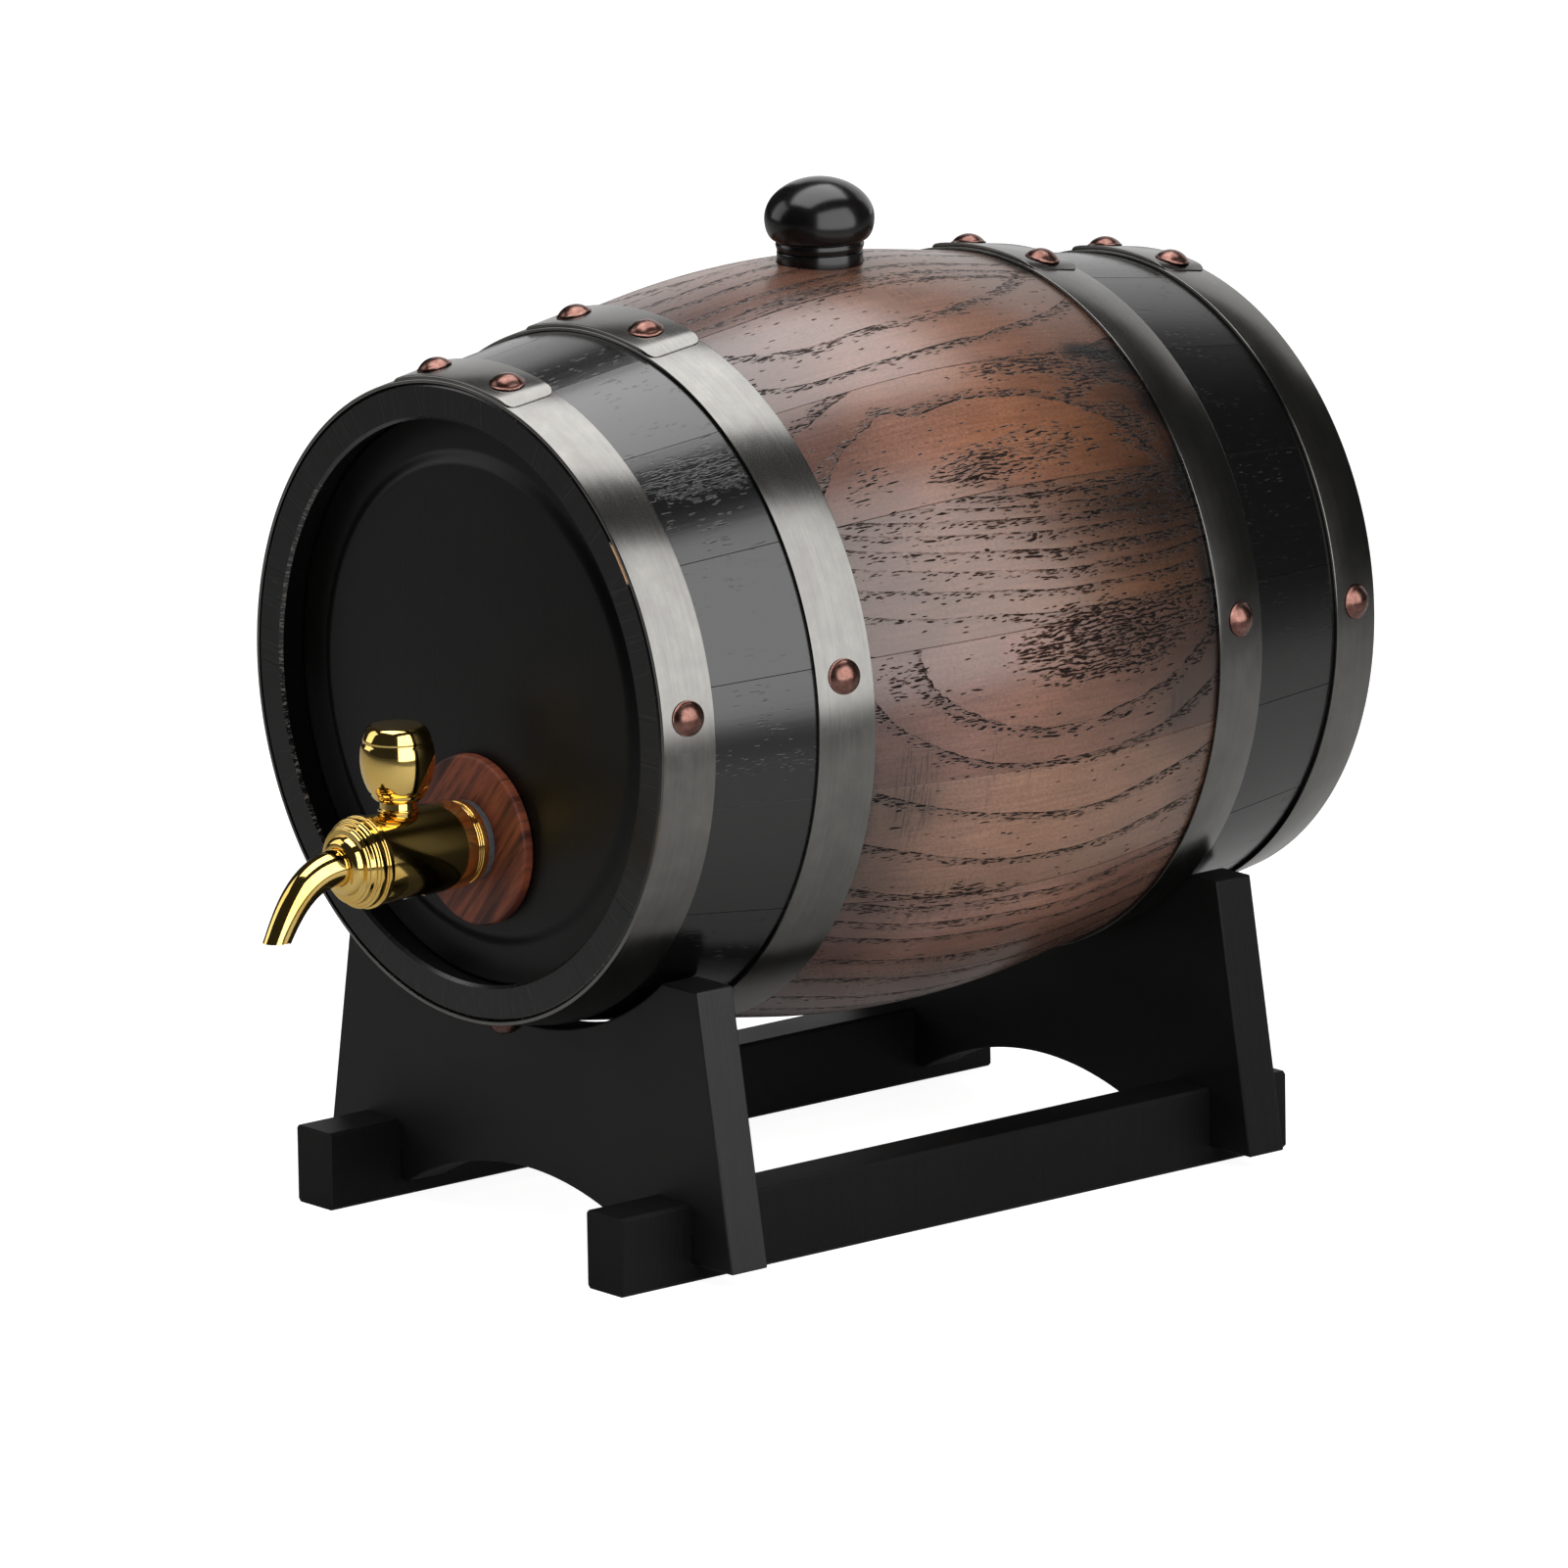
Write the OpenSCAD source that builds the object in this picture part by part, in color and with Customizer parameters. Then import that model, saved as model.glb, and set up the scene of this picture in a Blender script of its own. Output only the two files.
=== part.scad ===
// Oak cask liquor dispenser on a cradle stand, with a bung on top and a key tap in its front head.
// Millimetres. Z is up, the tap points to -Y, and the origin is the middle of the base of the
// whole object's bounding box. The cask is drawn about its own axis: there, z runs from its middle
// towards the tap, and angles count from the right side (0) over the top (90).

/* [Cask] */
// Length over the two rims
cask_len = 232.5; // [200:0.5:280]
// Diameter of the wood at the belly
belly_d = 191.2; // [180:0.2:220]
// Length of the curved belly between the two straight tapers
belly_len = 69; // [50:1:90]
// Drop of the radius for each mm along the straight taper
taper = 0.155; // [0.12:0.005:0.18]
// Thickness of a stave
stave_t = 9; // [7:0.5:12]
// Angle of the joint on the right of the bung stave
first_joint = 75.5; // [74.5:0.1:76.5]
// Chamfer of the staves at the rims
rim_chamfer = 0.8; // [0.4:0.1:1.5]
// Depth from a rim to the edge of its head
head_recess = 7.9; // [5:0.1:14]
// Thickness of a head at its edge
head_t = 8; // [6:0.5:12]
// Width of the tongue round a head
tongue_w = 4; // [3:0.1:5]
// Depth of the groove that holds the tongue
croze_depth = 3; // [2:0.1:4]
// Width of a head's edge round its raised middle
panel_margin = 11.5; // [8:0.5:16]
// Height of the raised middle
panel_rise = 1.6; // [0.8:0.1:3]
// Run of the bevel round the raised middle
panel_bevel = 1.8; // [1:0.1:3]

/* [Hoops] */
// Thickness of the hoop strap
hoop_t = 1; // [0.6:0.1:1.6]
// Width of the two hoops at the rims
head_hoop_w = 14.6; // [10:0.1:18]
// Width of the two inner hoops
quarter_hoop_w = 16; // [12:0.1:20]
// Place of an inner hoop's inner edge, as a share of the way from the middle of the cask to a rim
quarter_share = 0.485; // [0.44:0.005:0.49]
// Angle where the lapped end of a strap begins
lap_start = 73.5; // [71:0.5:75]
// Angle that the lapped ends cover
lap_angle = 34; // [31:1:40]
// Diameter of a rivet head
rivet_d = 9; // [6:0.5:10]
// Height of a rivet head
rivet_h = 2.5; // [1.5:0.1:3.5]
// Diameter of a rivet shank
rivet_shank_d = 3; // [2:0.1:4]
// Reach of a rivet shank into the wood
rivet_reach = 4; // [2:0.5:6]
// Angle between the two rivets of each lap, from the front hoop to the rear one
lap_rivet_angles = [20, 18.2, 18.5, 18.2]; // [18:0.1:22]
// Angle of the rivet on the right side of each hoop
side_rivet_angles = [6, 8.5, 5, 3]; // [2:0.5:9]

/* [Tap] */
// Height of the tap's axis above the lower edge of the front head
tap_rise = 37; // [36:0.5:44]
// Diameter of the wooden rosette
rosette_d = 43.2; // [34:0.2:48]
// Thickness of the rosette
rosette_t = 3.3; // [2:0.1:6]
// Diameter of the rubber gaskets
gasket_d = 20.6; // [18:0.2:24]
// Thickness of the outer gasket
gasket_t = 2; // [1:0.1:4]
// Thickness of the inner gasket
inner_gasket_t = 1.5; // [1:0.1:4]
// Diameter of the body
body_d = 22.5; // [21:0.1:26]
// Step from the rim of the body down to the flange ring behind it
flange_step = 0.65; // [0.2:0.05:1.5]
// Thickness of the flange ring
flange_t = 3.3; // [2:0.1:5]
// Length of the body
body_len = 27.5; // [24:0.5:34]
// Diameter of the threaded shank
shank_d = 14; // [12:0.5:16]
// Pitch of the thread rings on the shank
thread_pitch = 2; // [1.5:0.1:3]
// Depth of the thread rings
thread_depth = 0.7; // [0.4:0.1:1]
// Width of the lock nut over its flats
nut_af = 20; // [18:0.5:24]
// Thickness of the lock nut
nut_t = 5; // [3:0.5:7]
// Bore that the liquor flows through
flow_d = 5.2; // [4:0.1:6]
// Diameter of the widest ring of the nose collar
collar_d = 23.6; // [22:0.1:28]
// Length of the nose collar
collar_len = 9; // [7:0.5:12]
// Outer diameter of the spout where it leaves the collar
spout_root_d = 9.4; // [8:0.1:11]
// Outer diameter of the spout at its outlet
spout_tip_d = 6.7; // [6:0.1:8]
// Wall of the spout
spout_wall = 0.9; // [0.6:0.1:1.2]
// Reach of the spout in front of the collar
spout_reach = 23.2; // [18:0.1:32]
// Drop from the axis of the tap to the outlet
spout_drop = 15.8; // [12:0.1:24]
// Slant of the spout at its outlet, from upright
spout_slant = 27; // [0:1:35]

/* [Key] */
// Distance of the key from the back of the tap body
key_from_back = 17; // [12:0.5:18]
// Diameter of the key's plug and neck
plug_d = 9.3; // [8:0.1:10]
// Height of the neck above the body
neck_h = 2.6; // [1.5:0.1:6]
// Height of the key knob
knob_h = 19.2; // [14:0.2:26]
// Greatest diameter of the key knob
knob_d = 18.8; // [15:0.2:24]
// Diameter of the key knob's flat top
knob_top_d = 13; // [9:0.2:14]
// Diameter of the key knob at its foot
knob_foot_d = 10.4; // [9.8:0.1:12]
// Thickness of an O-ring
ring_t = 1.5; // [1:0.1:1.8]
// Diameter of the retaining washer under the plug
key_washer_d = 12; // [11:0.1:13]
// Thickness of the retaining washer
key_washer_t = 0.8; // [0.5:0.1:1]
// Diameter of the retaining screw
key_screw_d = 3; // [2.5:0.1:3.5]
// Depth of the recess for the retaining washer
key_recess = 2.6; // [2.3:0.1:3]

/* [Bung] */
// Distance of the bung behind the middle of the cask
bung_back = 2.9; // [0:0.1:4]
// Diameter of the bung hole
bung_hole_d = 17; // [12:0.5:18]
// Depth of the flat seat cut for the bung
bung_seat = 0.8; // [0.7:0.1:1.2]
// Diameter of the foot of the bung knob
bung_foot_d = 21.8; // [20:0.2:24]
// Height of the foot above the top of the wood
bung_foot_h = 2.6; // [2:0.1:5]
// Greatest diameter of the bung knob
bung_d = 27.8; // [25:0.2:34]
// Height from the top of the wood to the widest place of the bung knob
bung_mid_h = 10.8; // [9:0.1:16]
// Height of the bung knob above the top of the wood
bung_h = 21.1; // [18:0.1:30]
// Length of the cork stopper below the seat
stopper_len = 15; // [10:0.5:24]
// Diameter of the dowel that joins the knob to its stopper
bung_dowel_d = 8; // [6:0.5:9]

/* [Stand] */
// Height of the axis of the cask above the table
axis_h = 139.7; // [132:0.1:180]
// Thickness of the two plates
plate_t = 11.5; // [9:0.1:13]
// Gap between the front plate and the hoop at the front rim
front_hoop_gap = 4.4; // [3:0.1:6]
// Gap between the rear plate and the inner hoop in front of it
rear_hoop_gap = 0.5; // [0.4:0.1:4]
// Half width of a plate at its foot
plate_foot = 80.8; // [74:0.1:90]
// Half width of a plate at its top
plate_top = 68.8; // [66:0.1:74]
// Height of the top of a plate below the axis of the cask
plate_below = 65; // [60:0.5:68]
// Gap under a plate
plate_lift = 4.7; // [2:0.1:8]
// Height of the arch's middle above the table
arch_h = 17.2; // [12:0.1:28]
// Distance from a foot of the arch to the rail beside it
arch_inset = 3.5; // [0:0.1:8]
// Distance of a rail's middle from the middle of the stand
rail_x = 58.25; // [48:0.25:62]
// Width of a rail
rail_w = 14.1; // [10:0.1:18]
// Height of a rail
rail_h = 20.1; // [16:0.1:26]
// Reach of the rails in front of the front plate
rail_front = 22; // [10:0.5:26]
// Reach of the rails behind the rear plate
rail_rear = 14.2; // [8:0.1:20]
// Height of the lap between a rail and a plate
lap_z = 12.4; // [9:0.1:14]
// Chamfer along the edges of the rails
rail_chamfer = 0.8; // [0.4:0.1:1.5]
// Diameter of the stand screws
screw_d = 3.5; // [3:0.1:4.5]
// Length of the stand screws
screw_len = 32; // [26:1:40]
// Diameter of the stand screws' heads
screw_head_d = 7; // [6:0.1:8.5]
// Depth of the stand screws' heads in the rails
screw_sink = 1.2; // [0.6:0.1:2]

/* [Hidden] */
$fn = 96;

black_wood = "#1c1a19";
brown_wood = "#5b3826";
rosette_wood = "#7a4630";
steel = "#8d8f8f";
copper = "#6b4236";
gold = "#d6b25a";
zinc = "#b4b6b8";
rubber = "#4a4c50";
cork = "#c39a6b";

// angles that the staves cover, from the bung stave over the left side: their widths differ a little
stave_angles = [22.5, 21.5, 21, 21, 21.5, 20.5, 20.5, 21, 20.5, 21, 20.5, 20.5, 21.5, 21.5, 21.5, 22, 21.5];
arc_steps = 6;              // straight steps of the curved belly, each side of the middle
collar_rings = 3;           // rings of the nose collar, before its rounded front
spout_steps = 14;           // rings of the spout's mesh along its bend
spout_sides = 24;           // sides of the spout's mesh
fit = 0.02;                 // gap between wooden or metal pieces that are driven together
seal_gap = 0.05;            // running gap round the key's plug and the bung's stopper
lift_gap = 0.3;             // gap between the cask and the stand that it lifts out of
end_gap = 0.1;              // gap along the key's axis, under its neck and at its washer
over = 1;                   // how far a cut runs past the surface that it opens

// cask
half_len = cask_len / 2;
belly_half = belly_len / 2;
belly_curve = belly_half * sqrt(1 + 1 / pow(taper, 2));
belly_fall = belly_curve - sqrt(pow(belly_curve, 2) - pow(belly_half, 2));
function wood_r(u) = abs(u) < belly_half
    ? belly_d / 2 - belly_curve + sqrt(pow(belly_curve, 2) - pow(u, 2))
    : belly_d / 2 - belly_fall - taper * (abs(u) - belly_half);
function inner_r(u) = wood_r(u) - stave_t;
taper_tilt = atan(taper);
head_face = half_len - head_recess;
head_back = head_face - head_t;
head_r = inner_r(head_face) - fit;
panel_r = head_r - panel_margin;
croze_mid = head_face - head_t / 2;
croze_r = inner_r(croze_mid + tongue_w / 2) + croze_depth;
panel_face = head_face + panel_rise;

// outline of a stave, from the middle of the cask to its front rim
belly_steps = [for (i = [0 : arc_steps]) i * belly_half / arc_steps];
outer_chain = concat([for (u = belly_steps) [wood_r(u), u]],
    [[wood_r(half_len - rim_chamfer), half_len - rim_chamfer],
     [wood_r(half_len) - rim_chamfer, half_len]]);
inner_chain = concat([for (u = belly_steps) [inner_r(u), u]],
    [for (u = [croze_mid - tongue_w / 2 - fit]) each [[inner_r(u), u], [croze_r, u]]],
    [for (u = [croze_mid + tongue_w / 2 + fit]) each [[croze_r, u], [inner_r(u), u]]],
    [[inner_r(half_len - rim_chamfer), half_len - rim_chamfer],
     [inner_r(half_len) + rim_chamfer, half_len]]);
function joint(n) = n == 1 ? first_joint : joint(n - 1) + stave_angles[n - 2];
function backwards(c) = [for (i = [len(c) - 1 : -1 : 0]) c[i]];
function rear_half(c) = [for (i = [len(c) - 1 : -1 : 1]) [c[i][0], -c[i][1]]];
function both_halves(c) = concat(rear_half(c), c);

// hoops, from the middle of the cask outwards
quarter_from = quarter_share * half_len;
quarter_to = quarter_from + quarter_hoop_w;
head_hoop_from = half_len - head_hoop_w;
quarter_mid = (quarter_from + quarter_to) / 2;
head_hoop_mid = (head_hoop_from + half_len) / 2;
lap_mid = lap_start + lap_angle / 2;
rivet_hoops = [head_hoop_mid, quarter_mid, -quarter_mid, -head_hoop_mid];
function lap_rivets(n) = [for (side = [-1, 1]) lap_mid + side * lap_rivet_angles[n] / 2];
function side_rivets(n) = [side_rivet_angles[n], 185, 275];

// tap, along the axis of the cask
flange_d = body_d - 2 * flange_step;
rosette_back = panel_face;
gasket_back = rosette_back + rosette_t;
flange_back = gasket_back + gasket_t;
body_back = flange_back + flange_t;
body_front = body_back + body_len;
collar_front = body_front + collar_len;
spout_front = collar_front + spout_reach;
nut_front = head_back - inner_gasket_t;
shank_end = nut_front - nut_t - thread_pitch;
shank_hole_d = shank_d + 2 * seal_gap;
key_u = body_back + key_from_back;

// middle line of the spout, as [forward, height]: straight through the collar, then one bend
spout_start = [collar_front, 0];
spout_end = [spout_front - spout_tip_d / 2 / cos(spout_slant), -spout_drop];
spout_pull = spout_reach * 0.42;
spout_bend = [spout_start, spout_start + [spout_pull, 0],
    spout_end - spout_pull * [sin(spout_slant), -cos(spout_slant)], spout_end];

// key, above the axis of the tap
neck_top = body_d / 2 + neck_h;
knob_top = neck_top + knob_h;
seat_d = plug_d + 2 * seal_gap;
plug_foot = -body_d / 2 + key_recess;
ring_r = seat_d / 2 - fit - ring_t / 2;
ring_z = [flow_d / 2 + ring_t * 1.8, -flow_d / 2 - ring_t * 1.2];
key_spigot_d = plug_d * 0.6;
key_spigot_h = knob_h / 2;
key_screw_len = 5;
key_screw_head_d = key_screw_d * 1.9;
key_screw_head_h = key_screw_d * 0.45;

// bung, above the top of the wood
bung_dowel_len = stopper_len * 0.6;
ring_step = 0.35;

// place of the cask in the object's frame
cask_y = (spout_front - half_len) / 2;
cask_z = axis_h;
tap_z = cask_z - head_r + tap_rise;

// stand
plate_front_mid = cask_y - head_hoop_from + front_hoop_gap + plate_t / 2;
plate_rear_mid = cask_y + quarter_to + rear_hoop_gap + plate_t / 2;
rail_from = plate_front_mid - plate_t / 2 - rail_front;
rail_to = plate_rear_mid + plate_t / 2 + rail_rear;
arch_half = rail_x - rail_w / 2 - arch_inset;
arch_sag = arch_h - plate_lift;
arch_r = (pow(arch_half, 2) + pow(arch_sag, 2)) / (2 * arch_sag);
screw_top = screw_sink + screw_len;
screw_cone_h = (screw_head_d - screw_d) / 2;

// The axis of the cask: z towards the tap, x to the right, y up.
module on_cask() {
    translate([0, cask_y, cask_z]) rotate([90, 0, 0]) children();
}

// The axis of the tap, in the cask's directions.
module on_tap() {
    on_cask() translate([0, tap_z - cask_z, 0]) children();
}

// The upright axis of the key, with its height counted from the axis of the tap.
module on_key() {
    translate([0, cask_y - key_u, tap_z]) children();
}

// The upright axis of the bung, with its height counted from the top of the wood.
module on_bung() {
    translate([0, cask_y + bung_back, cask_z + belly_d / 2]) children();
}

module ring(d, hole, from, to) {
    difference() {
        translate([0, 0, from]) cylinder(d = d, h = to - from);
        translate([0, 0, from - over]) cylinder(d = hole, h = to - from + 2 * over);
    }
}

// ---- cask ----

// One stave between two radial joints, with its own rivet holes.
module stave(n) {
    from = joint(n);
    width = stave_angles[n - 1];
    on_cask() difference() {
        rotate([0, 0, from]) rotate_extrude(angle = width)
            polygon(concat(both_halves(outer_chain), backwards(both_halves(inner_chain))));
        for (n = [0 : 3], a = concat(lap_rivets(n), side_rivets(n)))
            if ((a - from + 720) % 360 < width) at_rivet(rivet_hoops[n], a, 1) rivet_hole();
    }
}

module bung_stave() {
    difference() {
        stave(1);
        on_bung() {
            translate([0, 0, -bung_seat]) cylinder(d = bung_foot_d + 2 * lift_gap, h = bung_seat + over);
            translate([0, 0, -stave_t - over]) cylinder(d = bung_hole_d, h = stave_t + over);
        }
    }
}

// A head with a tongue round its edge and a raised middle.
module head() {
    rotate_extrude() polygon([[0, head_back], [head_r, head_back],
        [head_r, croze_mid - tongue_w / 2], [croze_r - fit, croze_mid - tongue_w / 2],
        [croze_r - fit, croze_mid + tongue_w / 2], [head_r, croze_mid + tongue_w / 2],
        [head_r, head_face], [panel_r + panel_bevel, head_face],
        [panel_r, panel_face], [0, panel_face]]);
}

module front_head() {
    color(black_wood) difference() {
        on_cask() head();
        on_tap() translate([0, 0, head_back - over])
            cylinder(d = shank_hole_d, h = head_t + 2 * over + panel_rise);
    }
}

module rear_head() {
    color(black_wood) on_cask() mirror([0, 0, 1]) head();
}

// ---- hoops and rivets ----

// The place of a rivet on a hoop: z points square out of the hoop, from the top of so many straps.
module at_rivet(u, a, straps) {
    side = u > 0 ? 1 : -1;
    rotate([0, 0, a]) translate([wood_r(u) + fit, 0, u]) rotate([0, 90 - side * taper_tilt, 0])
        translate([0, 0, straps * hoop_t * cos(taper_tilt)]) children();
}

module rivet_hole() {
    translate([0, 0, -hoop_t - rivet_reach - over])
        cylinder(d = rivet_shank_d + 2 * fit, h = hoop_t * 3 + rivet_reach + 2 * over, $fn = 32);
}

module rivet(straps) {
    dome_r = (pow(rivet_d / 2, 2) + pow(rivet_h, 2)) / (2 * rivet_h);
    dome_angle = asin(rivet_d / 2 / dome_r);
    reach = straps * hoop_t + rivet_reach;
    rotate_extrude($fn = 48) polygon(concat(
        [[0, -reach], [rivet_shank_d / 2, -reach], [rivet_shank_d / 2, 0]],
        [for (i = [0 : 7]) let (a = dome_angle * (1 - i / 8))
            [dome_r * sin(a), dome_r * cos(a) - dome_r + rivet_h]],
        [[0, rivet_h]]));
}

// The rivets of a hoop; hoops count from 0 at the front.
module rivets(n) {
    color(copper) on_cask() {
        for (a = lap_rivets(n)) at_rivet(rivet_hoops[n], a, 2) rivet(2);
        for (a = side_rivets(n)) at_rivet(rivet_hoops[n], a, 1) rivet(1);
    }
}

// The section of a strap; the lapped one reaches into the one below it.
module strap(from, to, lap) {
    low = fit + lap * hoop_t / 2;
    high = fit + (1 + lap) * hoop_t;
    polygon([[wood_r(from) + low, from], [wood_r(to) + low, to],
        [wood_r(to) + high, to], [wood_r(from) + high, from]]);
}

// A hoop: a tapered band with its outer end lapped over the inner one.
module hoop(n, from, to) {
    color(steel) on_cask() difference() {
        union() {
            rotate_extrude($fn = 180) strap(from, to, 0);
            rotate([0, 0, lap_start]) rotate_extrude(angle = lap_angle) strap(from, to, 1);
        }
        for (a = concat(lap_rivets(n), side_rivets(n))) at_rivet(rivet_hoops[n], a, 1) rivet_hole();
    }
}

module front_head_hoop() { hoop(0, head_hoop_from, half_len); }
module front_quarter_hoop() { hoop(1, quarter_from, quarter_to); }
module rear_quarter_hoop() { hoop(2, -quarter_to, -quarter_from); }
module rear_head_hoop() { hoop(3, -half_len, -head_hoop_from); }

// ---- tap ----

module tap_rosette() {
    edge = rosette_t * 0.3;
    color(rosette_wood) on_tap() difference() {
        union() {
            translate([0, 0, rosette_back]) cylinder(d = rosette_d, h = rosette_t - edge);
            translate([0, 0, gasket_back - edge])
                cylinder(d1 = rosette_d, d2 = rosette_d - 2 * edge, h = edge);
        }
        translate([0, 0, rosette_back - over]) cylinder(d = shank_hole_d, h = rosette_t + 2 * over);
    }
}

module tap_gasket() {
    color(rubber) on_tap() ring(gasket_d, shank_d + 2 * fit, gasket_back, flange_back);
}

module tap_flange() {
    groove = flange_t * 0.2;
    color(gold) on_tap() difference() {
        ring(flange_d, shank_d + 2 * fit, flange_back, body_back);
        translate([0, 0, body_back - 2 * groove]) ring(flange_d + over, flange_d - 2 * groove, 0, groove);
    }
}

// The thread is drawn as rings: it only has to hold the lock nut.
module tap_shank() {
    rings = floor((head_back - shank_end) / thread_pitch);
    difference() {
        translate([0, 0, shank_end]) cylinder(d = shank_d, h = body_back - shank_end + over);
        for (i = [0 : rings - 1]) translate([0, 0, shank_end + (i + 0.5) * thread_pitch])
            ring(shank_d + over, shank_d - 2 * thread_depth, 0, thread_pitch / 2);
    }
}

module tap_body() {
    edge = (body_d - flange_d) / 2;
    color(gold) difference() {
        on_tap() union() {
            tap_shank();
            translate([0, 0, body_back]) cylinder(d1 = flange_d, d2 = body_d, h = edge);
            translate([0, 0, body_back + edge]) cylinder(d = body_d, h = body_len - edge);
        }
        on_tap() translate([0, 0, shank_end - over])
            cylinder(d = flow_d, h = body_front - shank_end + 2 * over);
        on_key() translate([0, 0, -body_d]) cylinder(d = seat_d, h = 2 * body_d);
        on_key() translate([0, 0, -body_d]) cylinder(d = key_washer_d + 4 * end_gap, h = body_d + plug_foot);
    }
}

// The nose: three rings that step down to a rounded front.
module tap_collar() {
    step = collar_len / (collar_rings + 1);
    gap = step * 0.28;
    fall = (collar_d - spout_root_d) / 2;
    function ring_out(i) = collar_d / 2 - fall * 0.6 * pow(i / collar_rings, 2);
    rings = [for (i = [0 : collar_rings - 1]) each [
        [ring_out(i), body_front + i * step],
        [ring_out(i), body_front + (i + 1) * step - gap],
        [ring_out(i) - gap, body_front + (i + 1) * step - gap],
        [ring_out(i) - gap, body_front + (i + 1) * step]]];
    nose_r = ring_out(collar_rings);
    nose = [for (i = [0 : 5]) let (a = i * 15)
        [nose_r - step + step * cos(a), collar_front - step + step * sin(a)]];
    hole_r = spout_root_d / 2 + fit;
    color(gold) on_tap() rotate_extrude() polygon(concat([[hole_r, body_front]], rings, nose,
        [[nose_r - step, collar_front], [hole_r, collar_front]]));
}

function bend_point(t) = pow(1 - t, 3) * spout_bend[0] + 3 * pow(1 - t, 2) * t * spout_bend[1]
    + 3 * (1 - t) * t * t * spout_bend[2] + t * t * t * spout_bend[3];
function bend_slope(t) = pow(1 - t, 2) * (spout_bend[1] - spout_bend[0])
    + 2 * (1 - t) * t * (spout_bend[2] - spout_bend[1]) + t * t * (spout_bend[3] - spout_bend[2]);

// One ring of the spout about a point of its line; square is its angle from upright, and stretch
// lengthens it where the outlet is cut level.
function spout_ring(p, angle, r, stretch) = [for (i = [0 : spout_sides - 1]) let (a = i * 360 / spout_sides)
    [r * sin(a), p[1] + r * stretch * cos(a) * cos(angle), p[0] + r * stretch * cos(a) * sin(angle)]];
function spout_rings(wall) = concat(
    [spout_ring([body_front, 0], 0, spout_root_d / 2 - wall, 1)],
    [for (i = [0 : spout_steps - 1]) let (t = i / spout_steps, s = bend_slope(t))
        spout_ring(bend_point(t), atan2(-s[1], s[0]),
            (spout_root_d + (spout_tip_d - spout_root_d) * t) / 2 - wall, 1)],
    [spout_ring(spout_end, 90, spout_tip_d / 2 - wall, 1 / cos(spout_slant))]);

module tap_spout() {
    outside = spout_rings(0);
    inside = spout_rings(spout_wall);
    count = len(outside);
    n = spout_sides;
    points = concat([for (r = outside) each r], [for (r = inside) each r]);
    skin = count * n;
    faces = concat(
        [for (j = [0 : count - 2], i = [0 : n - 1]) let (a = j * n + i, b = j * n + (i + 1) % n)
            each [[a, b, b + n], [a, b + n, a + n]]],
        [for (j = [0 : count - 2], i = [0 : n - 1]) let (a = skin + j * n + i, b = skin + j * n + (i + 1) % n)
            each [[a, b + n, b], [a, a + n, b + n]]],
        [for (i = [0 : n - 1]) let (a = i, b = (i + 1) % n) each [[a, skin + b, b], [a, skin + a, skin + b]]],
        [for (i = [0 : n - 1]) let (a = skin - n + i, b = skin - n + (i + 1) % n)
            each [[a, b, skin + b], [a, skin + b, skin + a]]]);
    color(gold) on_tap() polyhedron(points, faces);
}

module tap_inner_gasket() {
    color(rubber) on_tap() ring(gasket_d, shank_d + 2 * fit, nut_front, head_back);
}

module tap_lock_nut() {
    color(zinc) on_tap() difference() {
        translate([0, 0, nut_front - nut_t]) cylinder(d = nut_af / cos(30), h = nut_t, $fn = 6);
        translate([0, 0, nut_front - nut_t - over]) cylinder(d = shank_d + 2 * fit, h = nut_t + 2 * over);
    }
}

// ---- key ----

module key_plug() {
    groove_r = ring_r - ring_t / 2;
    color(gold) on_key() difference() {
        union() {
            translate([0, 0, plug_foot]) cylinder(d = plug_d, h = neck_top - plug_foot);
            translate([0, 0, neck_top - over]) cylinder(d = key_spigot_d, h = key_spigot_h + over);
            translate([0, 0, body_d / 2 + end_gap]) cylinder(d = knob_foot_d, h = neck_h * 0.25);
        }
        rotate([0, 90, 0]) translate([0, 0, -plug_d]) cylinder(d = flow_d, h = 2 * plug_d);
        for (z = ring_z) translate([0, 0, z - ring_t / 2 - fit])
            ring(plug_d + over, 2 * groove_r, 0, ring_t + 2 * fit);
        translate([0, 0, plug_foot - over])
            cylinder(d = key_screw_d + 2 * fit, h = key_screw_len + over, $fn = 32);
    }
}

// The knob is a small barrel with two grooves for its hoops.
module key_knob() {
    groove = 0.3;
    grooves = [0.12, 0.78];
    steps = 16;
    low = knob_foot_d / 2;
    top = knob_top_d / 2;
    function swell(t) = (1 - t) * low + t * top + (knob_d / 2 - (low + top) / 2) * pow(sin(180 * t), 0.62);
    color(gold) on_key() translate([0, 0, neck_top]) difference() {
        rotate_extrude() polygon(concat([[0, 0]],
            [for (i = [0 : steps]) let (t = i / steps) [swell(t), t * knob_h]], [[0, knob_h]]));
        translate([0, 0, -over]) cylinder(d = key_spigot_d + 2 * fit, h = key_spigot_h + over + fit);
        for (g = grooves) translate([0, 0, g * knob_h])
            ring(knob_d + over, 2 * (swell(g) - groove), 0, groove);
    }
}

module key_o_rings() {
    color(rubber) on_key() for (z = ring_z) translate([0, 0, z])
        rotate_extrude() translate([ring_r, 0]) circle(d = ring_t - 2 * fit, $fn = 32);
}

module key_washer() {
    color(zinc) on_key() ring(key_washer_d, key_screw_d + 2 * fit, plug_foot - key_washer_t, plug_foot);
}

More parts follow.
